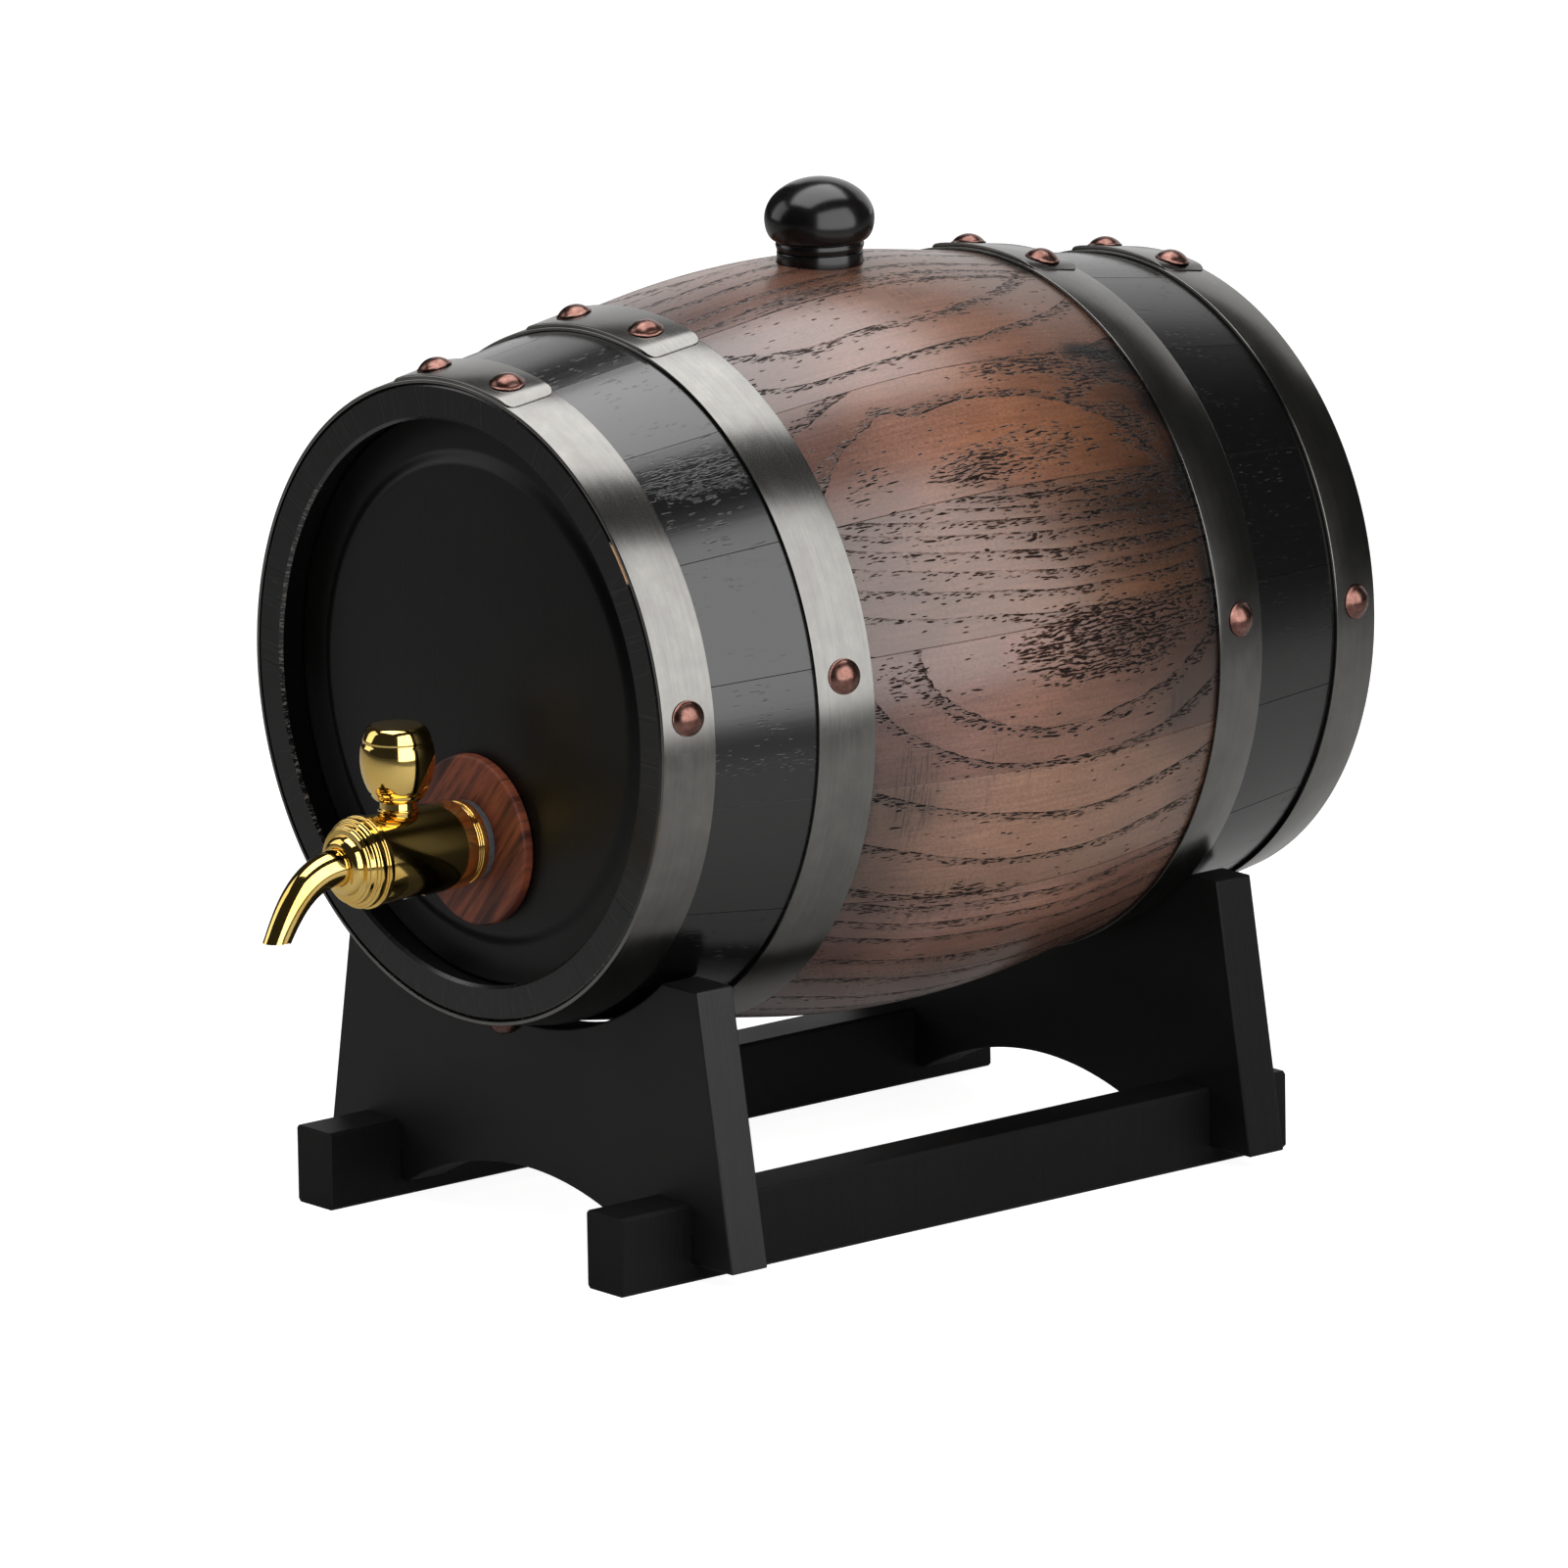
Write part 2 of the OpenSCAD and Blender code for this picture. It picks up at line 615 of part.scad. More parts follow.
module key_screw() {
    top = plug_foot - key_washer_t;
    color(zinc) on_key() difference() {
        union() {
            translate([0, 0, top - key_screw_head_h]) cylinder(d = key_screw_head_d, h = key_screw_head_h);
            translate([0, 0, top - over / 2])
                cylinder(d = key_screw_d, h = key_screw_len + key_washer_t - over / 2);
        }
        for (a = [0, 90]) rotate([0, 0, a])
            translate([-key_screw_d / 2, -key_screw_d / 10, top - key_screw_head_h - over])
                cube([key_screw_d, key_screw_d / 5, over + key_screw_head_h / 2]);
    }
}

// ---- bung ----

// The knob stands on a flat seat: a foot, a ring and a mushroom head above it.
module bung_knob() {
    foot_r = bung_foot_d / 2;
    neck_z = bung_foot_h + ring_step;
    cap_z = bung_mid_h / 2;
    cap_r = foot_r + ring_step;
    under = [for (i = [0 : 5]) let (a = i * 15)
        [cap_r + (bung_d / 2 - cap_r) * sin(a), bung_mid_h - (bung_mid_h - cap_z) * cos(a)]];
    above = [for (i = [0 : 11]) let (a = i * 7.5)
        [bung_d / 2 * cos(a), bung_mid_h + (bung_h - bung_mid_h) * sin(a)]];
    color(black_wood) on_bung() rotate_extrude() polygon(concat(
        [[0, -bung_seat - bung_dowel_len], [bung_dowel_d / 2, -bung_seat - bung_dowel_len],
         [bung_dowel_d / 2, -bung_seat + seal_gap], [foot_r, -bung_seat + seal_gap],
         [foot_r, bung_foot_h], [foot_r - 2 * ring_step, bung_foot_h + ring_step / 2],
         [foot_r, neck_z], [cap_r, (neck_z + cap_z) / 2], [foot_r, cap_z - ring_step]],
        under, above, [[0, bung_h]]));
}

module bung_stopper() {
    lead = 1;
    d = bung_hole_d - 2 * seal_gap;
    color(cork) on_bung() translate([0, 0, -bung_seat + seal_gap]) difference() {
        union() {
            translate([0, 0, -stopper_len + lead]) cylinder(d = d, h = stopper_len - lead);
            translate([0, 0, -stopper_len]) cylinder(d1 = d - 2 * lead, d2 = d, h = lead);
        }
        translate([0, 0, -bung_dowel_len - fit])
            cylinder(d = bung_dowel_d + 2 * fit, h = bung_dowel_len + over);
    }
}

// ---- stand ----

// A plate with its cradle, arch, rail notches and screw holes; wide is the cradle's radius.
module plate(mid, inner_u) {
    foot_z = plate_lift;
    top_z = cask_z - plate_below;
    cradle_r = wood_r(inner_u) + lift_gap;
    color(black_wood) difference() {
        translate([0, mid + plate_t / 2, 0]) rotate([90, 0, 0]) linear_extrude(plate_t)
            polygon([[-plate_foot, foot_z], [plate_foot, foot_z], [plate_top, top_z], [-plate_top, top_z]]);
        translate([0, mid + plate_t, cask_z]) rotate([90, 0, 0])
            cylinder(r = cradle_r, h = 2 * plate_t, $fn = 180);
        translate([0, mid + plate_t, arch_h - arch_r]) rotate([90, 0, 0])
            cylinder(r = arch_r, h = 2 * plate_t, $fn = 180);
        for (side = [-1, 1]) translate([side * rail_x, mid, 0]) {
            translate([-rail_w / 2 - fit, -plate_t, 0]) cube([rail_w + 2 * fit, 2 * plate_t, lap_z + fit]);
            cylinder(d = screw_d + 2 * fit, h = screw_top + fit, $fn = 32);
        }
    }
}

module rail(side) {
    c = rail_chamfer;
    w = rail_w / 2;
    color(black_wood) difference() {
        translate([side * rail_x, rail_to, 0]) rotate([90, 0, 0]) linear_extrude(rail_to - rail_from)
            polygon([[-w + c, 0], [w - c, 0], [w, c], [w, rail_h - c], [w - c, rail_h],
                [-w + c, rail_h], [-w, rail_h - c], [-w, c]]);
        for (mid = [plate_front_mid, plate_rear_mid]) translate([side * rail_x, mid, 0]) {
            translate([-rail_w, -plate_t / 2 - fit, lap_z]) cube([2 * rail_w, plate_t + 2 * fit, rail_h]);
            translate([0, 0, -over]) cylinder(d = screw_d + 2 * fit, h = rail_h, $fn = 32);
            translate([0, 0, -over]) cylinder(d = screw_head_d + 2 * fit, h = over + screw_sink, $fn = 32);
            translate([0, 0, screw_sink])
                cylinder(d1 = screw_head_d + 2 * fit, d2 = screw_d + 2 * fit, h = screw_cone_h, $fn = 32);
        }
    }
}

module stand_front_plate() { plate(plate_front_mid, cask_y - plate_front_mid - plate_t / 2); }
module stand_rear_plate() { plate(plate_rear_mid, plate_rear_mid - plate_t / 2 - cask_y); }
module left_rail() { rail(-1); }
module right_rail() { rail(1); }

module stand_screws() {
    slot = screw_d / 5;
    color(zinc) for (side = [-1, 1], mid = [plate_front_mid, plate_rear_mid])
        translate([side * rail_x, mid, screw_sink]) difference() {
            union() {
                cylinder(d1 = screw_head_d, d2 = screw_d, h = screw_cone_h, $fn = 32);
                cylinder(d = screw_d, h = screw_len, $fn = 32);
            }
            for (a = [0, 90]) rotate([0, 0, a])
                translate([-screw_d / 2, -slot / 2, -over]) cube([screw_d, slot, over + slot]);
        }
}

stand_front_plate();
stand_rear_plate();
left_rail();
right_rail();
stand_screws();
color(brown_wood) bung_stave();  // stave_1
color(brown_wood) stave(2);  // stave_2
color(brown_wood) stave(3);  // stave_3
color(brown_wood) stave(4);  // stave_4
color(brown_wood) stave(5);  // stave_5
color(brown_wood) stave(6);  // stave_6
color(brown_wood) stave(7);  // stave_7
color(brown_wood) stave(8);  // stave_8
color(brown_wood) stave(9);  // stave_9
color(brown_wood) stave(10);  // stave_10
color(brown_wood) stave(11);  // stave_11
color(brown_wood) stave(12);  // stave_12
color(brown_wood) stave(13);  // stave_13
color(brown_wood) stave(14);  // stave_14
color(brown_wood) stave(15);  // stave_15
color(brown_wood) stave(16);  // stave_16
color(brown_wood) stave(17);  // stave_17
front_head();
rear_head();
front_head_hoop();
front_quarter_hoop();
rear_quarter_hoop();
rear_head_hoop();
rivets(0);  // front_head_rivets
rivets(1);  // front_quarter_rivets
rivets(2);  // rear_quarter_rivets
rivets(3);  // rear_head_rivets
tap_rosette();
tap_gasket();
tap_flange();
tap_body();
tap_collar();
tap_spout();
tap_inner_gasket();
tap_lock_nut();
key_plug();
key_knob();
key_o_rings();
key_washer();
key_screw();
bung_knob();
bung_stopper();
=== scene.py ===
import math

import bpy
from mathutils import Matrix, Vector, noise


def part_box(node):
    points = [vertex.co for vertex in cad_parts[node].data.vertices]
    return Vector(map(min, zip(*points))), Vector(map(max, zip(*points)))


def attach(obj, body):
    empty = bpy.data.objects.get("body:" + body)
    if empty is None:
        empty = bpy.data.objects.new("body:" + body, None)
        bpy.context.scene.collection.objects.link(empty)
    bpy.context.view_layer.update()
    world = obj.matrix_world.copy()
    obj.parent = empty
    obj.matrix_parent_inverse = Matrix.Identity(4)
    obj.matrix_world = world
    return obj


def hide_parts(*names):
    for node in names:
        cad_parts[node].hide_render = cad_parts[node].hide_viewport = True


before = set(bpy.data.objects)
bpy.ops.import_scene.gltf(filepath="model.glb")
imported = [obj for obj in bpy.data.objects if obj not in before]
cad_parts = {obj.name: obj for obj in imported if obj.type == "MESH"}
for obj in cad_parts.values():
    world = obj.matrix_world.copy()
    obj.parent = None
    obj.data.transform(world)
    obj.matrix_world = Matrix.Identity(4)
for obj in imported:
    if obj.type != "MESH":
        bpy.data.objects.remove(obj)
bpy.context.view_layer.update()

# Small stained-ash cask on a black stand, with steel hoops, copper rivets and a gilt key tap.
# The frame is in metres; sizes below are in millimetres and angles in degrees, unless a note says otherwise.
mm = 0.001

# A place on the cask has u, which runs from its middle towards the tap, and an angle, which starts at
# its right side and rises to the top.
staveLow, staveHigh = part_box("stave_14")  # the stave that holds angle 0
headLow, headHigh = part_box("rear_head")
bungLow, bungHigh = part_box("bung_knob")
cask = {
    "middle": (staveLow.y + staveHigh.y) / 2 / mm,
    "axis": (headLow.z + headHigh.z) / 2 / mm,
    "half": (staveHigh.y - staveLow.y) / 2 / mm,
    "belly": staveHigh.x / mm,  # radius of the wood at the middle
    "bellyHalf": 34.5,          # how far the round belly reaches each way
    "taper": 0.155,             # fall of the straight ends beyond it
    "thick": 9.0,
    "bungAt": (bungLow.y + bungHigh.y) / 2 / mm,
}
bend = cask["bellyHalf"] * math.sqrt(1 + 1 / cask["taper"] ** 2)
bellyFall = bend - math.sqrt(bend ** 2 - cask["bellyHalf"] ** 2)


def woodRadius(u):
    u = abs(u)
    if u < cask["bellyHalf"]:
        return cask["belly"] - bend + math.sqrt(bend ** 2 - u ** 2)
    return cask["belly"] - bellyFall - cask["taper"] * (u - cask["bellyHalf"])


def onCask(u, radius, degrees):
    a = math.radians(degrees)
    return Vector((radius * math.cos(a), cask["middle"] - u, cask["axis"] + radius * math.sin(a))) * mm


def axisPlace(origin, along):
    # a place whose z runs along the given way, scaled from millimetres to metres
    turn = Vector(along).to_track_quat("Z", "Y").to_matrix().to_4x4()
    return Matrix.Translation(Vector(origin) * mm) @ turn @ Matrix.Scale(mm, 4)


def toLinear(hexText):
    parts = [int(hexText[i:i + 2], 16) / 255 for i in (1, 3, 5)]
    return tuple(c / 12.92 if c <= 0.04045 else ((c + 0.055) / 1.055) ** 2.4 for c in parts) + (1.0,)


modes = {"Math": "operation", "VectorMath": "operation", "MapRange": "interpolation_type", "Mix": "data_type",
         "VectorRotate": "rotation_type"}


def addNode(tree, kind, inputs=(), take=0, ramp=None, **settings):
    # adds a node, which a second word puts in one of its modes, feeds its inputs with values or links,
    # and gives back one output
    kind, _, mode = kind.partition(" ")
    node = tree.nodes.new("ShaderNode" + kind)
    if mode:
        settings[modes[kind]] = mode
    for name, value in settings.items():
        setattr(node, name, value)
    for socket, value in inputs.items() if isinstance(inputs, dict) else enumerate(inputs):
        if isinstance(value, bpy.types.NodeSocket):
            tree.links.new(value, node.inputs[socket])
        else:
            node.inputs[socket].default_value = toLinear(value) if isinstance(value, str) else value
    if ramp:
        stops = node.color_ramp.elements
        while len(stops) < len(ramp):
            stops.new(1.0)
        for stop, (at, colour) in zip(stops, ramp):
            stop.position = at
            stop.color = toLinear(colour)
    return node.outputs[take] if node.outputs else node


def newMaterial(name):
    # an empty material, its node tree and places on the piece in metres
    made = bpy.data.materials.new(name)
    made.use_nodes = True
    tree = made.node_tree
    tree.nodes.clear()
    return made, tree, addNode(tree, "TexCoord", take="Object")


def finishMaterial(made, colour, rough, bump=None, metal=0.0, gloss=0.5, shine="#ffffff"):
    # closes a material with its shader, and gives it back
    surface = {"Base Color": colour, "Roughness": rough, "Metallic": metal, "Specular IOR Level": gloss,
               "Specular Tint": shine}
    if bump:
        surface["Normal"] = bump
    tree = made.node_tree
    addNode(tree, "OutputMaterial", {"Surface": addNode(tree, "BsdfPrincipled", surface)})
    return made


def perMetre(*sizes):
    # a pattern's scale from the size of its grains in millimetres
    scales = tuple(1 / (size * mm) for size in sizes)
    return scales if len(scales) > 1 else scales[0]


# Finishes that one cloudy pattern gives: the size of its clouds in mm and their detail, the colours
# from its darkest to its lightest place, the least roughness and what it adds, and its relief in mm.
cloudyFinishes = {
    # Copper-plated rivet heads, dipped dark and rubbed back. The eye sees a brown metal with soft,
    # unevenly dull pinkish highlights.
    "copperPlatedAntiqued": {"clouds": (2.63, 4.0, 0.6), "metal": 1.0, "rough": (0.2, 0.14), "relief": 0.008,
                             "colours": [(0.3, "#523833"), (0.5, "#73524a"), (0.72, "#8c6c64")]},
    # Turned brass with polished gold-tone plating. The eye sees sharp, pale yellow highlights beside
    # nearly black reflections, with a faint haze.
    "brassPlatedGoldPolished": {"clouds": (11.11, 3.0, 0.5), "colours": [(0.3, "#e3bb62"), (0.7, "#efcf80")],
                                "metal": 1.0, "rough": (0.05, 0.05)},
    # Moulded nitrile rubber. The eye sees dull dark grey with a soft sheen along its edge.
    "rubberMouldedGrey": {"clouds": (1.11, 2.0, 0.5), "colours": [(0.35, "#3b3d41"), (0.7, "#4b4d52")],
                          "metal": 0.0, "rough": (0.6, 0.0), "relief": 0.03},
    # Steel screws, washer and nut with bright zinc. The eye sees pale, faintly bluish metal.
    "steelZincPlated": {"clouds": (1.43, 3.0, 0.5), "colours": [(0.3, "#a9adb1"), (0.7, "#c3c6c9")],
                        "metal": 1.0, "rough": (0.32, 0.0)},
}


def cloudyFinish(name):
    look = cloudyFinishes[name]
    size, detail, harshness = look["clouds"]
    least, added = look["rough"]
    made, tree, place = newMaterial(name)
    clouds = addNode(tree, "TexNoise", {"Vector": place, "Scale": perMetre(size), "Detail": detail,
                                        "Roughness": harshness})
    colour = addNode(tree, "ValToRGB", [clouds], "Color", look["colours"])
    rough = addNode(tree, "Math MULTIPLY_ADD", [clouds, added, least])
    bump = None
    if "relief" in look:
        bump = addNode(tree, "Bump", {"Height": clouds, "Distance": look["relief"] * mm, "Strength": 1.0})
    return finishMaterial(made, colour, rough, bump, look["metal"])


def addPiece(name, points, faces, material, body, slotName, replaced, smooth=35):
    mesh = bpy.data.meshes.new(name)
    mesh.from_pydata([tuple(p) for p in points], [], faces)
    mesh.validate()
    mesh.update()
    piece = bpy.data.objects.new(name, mesh)
    bpy.context.scene.collection.objects.link(piece)
    dressPiece(piece, material, smooth)
    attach(piece, body)
    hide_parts(*replaced)
    return piece


def pieceName(start, node):
    return start + "".join(word.capitalize() for word in node.split("_"))


def dressPiece(piece, material, smooth):
    piece.data.materials.clear()
    piece.data.materials.append(material)
    piece.data.shade_smooth()
    piece.data.set_sharp_from_angle(angle=math.radians(smooth))


def turned(profile, place, steps=96, closed=False):
    # points (radius, height) turned about the z of a place; a radius of 0 is a pole
    points, faces, rings = [], [], []
    for radius, height in profile:
        if radius < 1e-6:
            rings.append([len(points)])
            points.append(place @ Vector((0, 0, height)))
        else:
            rings.append(list(range(len(points), len(points) + steps)))
            for i in range(steps):
                a = math.tau * i / steps
                points.append(place @ Vector((radius * math.cos(a), radius * math.sin(a), height)))
    pairs = list(zip(rings, rings[1:])) + ([(rings[-1], rings[0])] if closed else [])
    for low, high in pairs:
        for i in range(steps):
            j = (i + 1) % steps
            if len(low) == 1 and len(high) > 1:
                faces.append((low[0], high[j], high[i]))
            elif len(high) == 1 and len(low) > 1:
                faces.append((low[i], low[j], high[0]))
            elif len(low) > 1:
                faces.append((low[i], low[j], high[j], high[i]))
    return points, faces


def eased(profile, radius, closed=False, steps=3):
    # rounds the corners of an outline with short curves
    count, made = len(profile), []
    for i, point in enumerate(profile):
        here = Vector(point)
        if not closed and i in (0, count - 1):
            made.append(tuple(here))
            continue
        before = Vector(profile[i - 1]) - here
        after = Vector(profile[(i + 1) % count]) - here
        reach = min(radius, before.length * 0.45, after.length * 0.45)  # less than half a side
        if reach < 1e-4 or before.angle(after) > math.radians(160):     # nothing there to round
            made.append(tuple(here))
            continue
        a, b = here + before.normalized() * reach, here + after.normalized() * reach
        for k in range(steps + 1):
            t = k / steps
            made.append(tuple(a * (1 - t) ** 2 + here * (2 * t * (1 - t)) + b * t ** 2))
    return made


def joined(*parts):
    points, faces = [], []
    for some, sides in parts:
        shift = len(points)
        points += some
        faces += [tuple(i + shift for i in side) for side in sides]
    return points, faces


def swept(sections, closed):
    # joins equal rings of points, each a closed outline, with flat ends unless the sweep closes
    size, faces = len(sections[0]), []
    points = [p for section in sections for p in section]
    last = len(sections) if closed else len(sections) - 1
    for s in range(last):
        a, b = s * size, (s + 1) % len(sections) * size
        faces += [(a + i, a + (i + 1) % size, b + (i + 1) % size, b + i) for i in range(size)]
    if not closed:
        faces.append(tuple(reversed(range(size))))
        faces.append(tuple(range(len(points) - size, len(points))))
    return points, faces


def cutAway(piece, tool):
    # takes the tool's shape out of a piece and throws the tool away
    cutter = bpy.data.objects.new("cutter", bpy.data.meshes.new("cutter"))
    cutter.data.from_pydata([tuple(p) for p in tool[0]], [], tool[1])
    cutter.data.update()
    bpy.context.scene.collection.objects.link(cutter)
    change = piece.modifiers.new("cut", "BOOLEAN")
    change.object = cutter
    change.solver = "EXACT"
    graph = bpy.context.evaluated_depsgraph_get()
    made = bpy.data.meshes.new_from_object(piece.evaluated_get(graph))
    piece.modifiers.clear()
    piece.data = made
    bpy.data.objects.remove(cutter)


def drill(piece, radius, low, high, place, steps=64):
    cutAway(piece, turned([(0, low), (radius, low), (radius, high), (0, high)], place, steps))


def layGrain(piece, rule):
    # writes, for every corner of every face, what a rule says of its place and its face's way
    mesh = piece.data
    kinds = {"grain": "FLOAT_VECTOR", "tint": "FLOAT_COLOR"}
    rows = []
    for face in mesh.polygons:
        for corner in face.loop_indices:
            rows.append(rule(mesh.vertices[mesh.loops[corner].vertex_index].co / mm, face))
    order = [c for face in mesh.polygons for c in face.loop_indices]
    for key in rows[0]:
        layer = mesh.attributes.new(key, kinds.get(key, "FLOAT"), "CORNER")
        field = {"FLOAT_VECTOR": "vector", "FLOAT_COLOR": "color", "FLOAT": "value"}[layer.data_type]
        for corner, row in zip(order, rows):
            setattr(layer.data[corner], field, row[key])


def caskPolar(point):
    # place on the cask: u, distance from its axis and angle
    x, z = point.x, point.z - cask["axis"]
    return cask["middle"] - point.y, math.hypot(x, z), math.degrees(math.atan2(z, x)) % 360


staves = {
    "first": 75.5,       # where stave 1 starts; the others follow by their widths
    "angles": [22.5, 21.5, 21, 21, 21.5, 20.5, 20.5, 21, 20.5, 21, 20.5, 20.5, 21.5, 21.5, 21.5, 22, 21.5],
    "groove": 0.12,      # bevel at each joint
    "seams": [0.6] * 11 + [0.8, 1.0, 0.25, 0.3, 0.55, 0.55],  # how dark the joint before each stave is
    "rimBevel": 0.8,
    "columns": 14,
    "rows": 120,
    "paintFrom": 57.0,   # where the black paint starts
    "crozeAt": 104.35,
    "tongue": 4.0,
    "crozeDepth": 3.0,
    "bungHole": 17.0,
    "bungSeat": 22.4,
    "seatDepth": 0.8,
    "endRings": 4.2,     # growth rings on the end grain, in mm
}

# Each board has the staves that were sawn from it, an eye at (u, angle), how long its loops are for
# their width, its stain, and the distances of its growth lines from the eye in mm.
boards = [dict(zip(("staves", "eye", "stretch", "tint", "lines"), row)) for row in [
    ([17], (10, 84.6), 1.93, "#704d3d", [32.7, 44, 57]),
    ([1], (0, 120), 6.0, "#704d3d", [38, 46, 54, 63.5, 69.7, 73]),
    ([16], (7, 32), 2.15, "#744d3a", [25.6, 36.8, 43]),
    ([15], (-25, 60), 2.2, "#6a4938", [47.4, 50.6, 53.8, 57.2, 60.6, 64.6, 69, 73.6, 80]),
    ([14], (-7, 10.5), 1.88, "#704d3e", [26, 34.7, 49.2]),
    ([13], (-7, 10.5), 1.88, "#7f5c49", [26, 34.7, 49.2, 61.7, 74]),
    ([12, 11], (-7, 10.5), 2.6, "#7d5b4d", [61.7, 76, 82, 88, 98.5, 108, 119]),
    ([2, 3], (-24, 112), 2.0, "#744f3d", [15, 24, 35, 43, 55, 66]),
    ([4, 5], (30, 166), 1.9, "#6c493a", [18, 27, 39, 48, 60]),
    ([6], (-30, 176), 2.2, "#775440", [12, 21, 30, 42]),
    ([7, 8], (8, 225), 1.8, "#6c4b3b", [14, 26, 37, 47, 59]),
    ([9, 10], (-16, 280), 2.0, "#745140", [16, 25, 38, 46, 57]),
]]
# Places where the growth lines swerve: u, angle, half length, half height and shift in mm.
swerves = [
    (30, 47, 5, 9, -4.2), (40, 45, 8, 9, -2.2), (50, 69, 18, 14, -2.6), (50, 59, 24, 9, -3.4),
    (-15, 58.5, 3.5, 6, -1.4),
]

# Spots on the wood: u, angle, half length and half height in mm, and how much of each they carry. A pore
# spot below nothing thins the growth lines.
# Most tone spots are the wood's own tone; the dark ones low on the front end, at 47 and 51 mm and -13 and -30
# degrees, and the long dark one along the underside at -56 degrees are painted shade.
toneAndShadeSpots = [
    (-34, 27, 22, 7, -0.42), (-20, 25, 34, 5, -0.15), (47, -13, 10, 16, -0.25), (51, -30, 12, 26, -0.4),
    (-18, 53, 28, 9, 0.28), (-14, 64, 24, 8, 0.14), (-50, -20, 7, 16, -0.4), (-2, -37, 26, 4, 0.15),
    (4, -56, 70, 13, -0.35), (-46, 27, 10, 12, -0.25), (-16, 42, 26, 9, 0.12), (10, -20, 34, 14, 0.08),
    (-30, 13.5, 26, 4, 0.35), (-24, 6.5, 12, 6, -0.35), (14, 79, 18, 6, -0.3), (20, 85, 8, 6, -0.2),
    (-8, -38, 26, 8, 0.35), (0, 62, 26, 8, 0.1), (47, 46, 14, 12, -0.15), (38, 35, 9, 7, -0.12),
    (12, 35.5, 10, 4, -0.15), (-44, -9, 6, 8, -0.25),
]
warmSpots = [
    (-28, 38, 24, 13, 0.8), (-30, 13.5, 26, 4, 0.8), (-46, 18, 9, 24, 0.5), (-30, -6, 24, 6, 0.3),
    (2, 38, 16, 7, 0.3),
]
sootSpots = [
    (-52, 43, 7, 7, 0.55), (-53, 51, 9, 4, 0.6), (-42, 54.6, 7, 2.4, 0.95), (-49, 53.5, 8, 3, 0.6),
    (-56, 82, 4, 9, 0.6), (-57, 30, 6, 8, 0.75), (-57, 12, 5, 12, 0.5), (-20, 54.2, 18, 0.7, 0.3),
    (57, -20, 4, 30, 0.35),
]
poreSpots = [
    (-15, 6.6, 26, 8.6, 1.3), (-25, 6.8, 15, 7, 0.7), (34, 21, 24, 22, -0.55), (14, 35.6, 12, 4.5, 0.75),
    (-8, 37.5, 19, 6.5, 0.55), (-28, 52.3, 26, 2.9, 1.0), (-40, 49, 12, 2.4, 1.0), (-30, 45.5, 8, 1.6, 0.9),
    (-38, 43, 7, 1.6, 0.9), (-44, 40.5, 5, 1.8, 0.9), (-28, 30.6, 28, 1.3, 0.9), (12, 77.5, 24, 3.4, 0.6),
    (-30, 75.6, 22, 1.2, 0.7), (20, -30.5, 6, 1.4, 0.8), (46, 7.5, 7, 5.5, 0.5), (-46, 38, 8, 6, 0.6),
    (42, 36, 8, 6, 0.35), (-46, 9, 9, 8, 0.35), (18, -32.3, 18, 0.8, 0.9), (84, 47, 18, 7, 0.7),
    (84, -4, 16, 2, 0.5), (84, -24, 16, 2, 0.3), (-84, 30, 16, 6, 0.3),
]
sawnSpots = [
    (43, -12, 6, 14, 1.0), (-42, -6, 4, 9, 1.0), (21.5, -11, 1.2, 8, 1.0), (10, -14, 1.2, 6, 0.8),
    (28, -34, 16, 9, 0.5), (12, 70, 22, 8, 0.4), (-43, 17, 6, 8, 0.5),
]


def easedStep(value, start, end):
    t = max(0.0, min(1.0, (value - start) / (end - start)))
    return t * t * (3 - 2 * t)


def signedTurn(degrees, start=0.0):
    # the angle from a start, between -180 and 180
    return (degrees - start + 180) % 360 - 180


def spotsAt(spots, u, degrees, soft=True):
    total = 0.0
    for spotU, spotAngle, halfLong, halfHigh, weight in spots:
        across = math.radians(signedTurn(degrees, spotAngle)) * cask["belly"]
        reach = math.hypot((u - spotU) / halfLong, across / halfHigh)
        if reach < 2.6:
            total += weight * (math.exp(-reach ** 2) if soft else max(0.0, min(1.0, (1.3 - reach) / 0.5)))
    return total


def ringNumber(distance, lines):
    # counts growth lines out from the eye, with the gap between the two lines around the place
    below = 0.0
    for i, line in enumerate(lines):
        if distance < line:
            return i + (distance - below) / (line - below), line - below
        below = line
    gap = 10.0
    return len(lines) + (distance - below) / gap, gap


def longGrain(board, u, degrees):
    eyeU, eyeAngle = board["eye"]
    across = math.radians(signedTurn(degrees, eyeAngle)) * cask["belly"]
    wander = noise.noise(Vector((u / 34, across / 16, eyeAngle))) * 1.6
    distance = math.hypot((u - eyeU) / board["stretch"], across) + wander + spotsAt(swerves, u, degrees)
    return across, *ringNumber(distance, board["lines"])


tones = {
    "clouds": (22, 9, 0.16),    # slow clouds: mm along the wood, degrees round it, and strength
    # painted sheen: a grey-purple lift of the stained colour in front of the middle, weaker low on the cask
    "pale": (0.04, 0.16, 0.4),  # red, green and blue gained before the middle of the cask
    "front": (0.42, 0.4, 0.36),  # lost next to the front inner hoop
    "warm": (0.17, 0.1, -0.1),  # gained in the warm spots
    "least": 0.08,
}


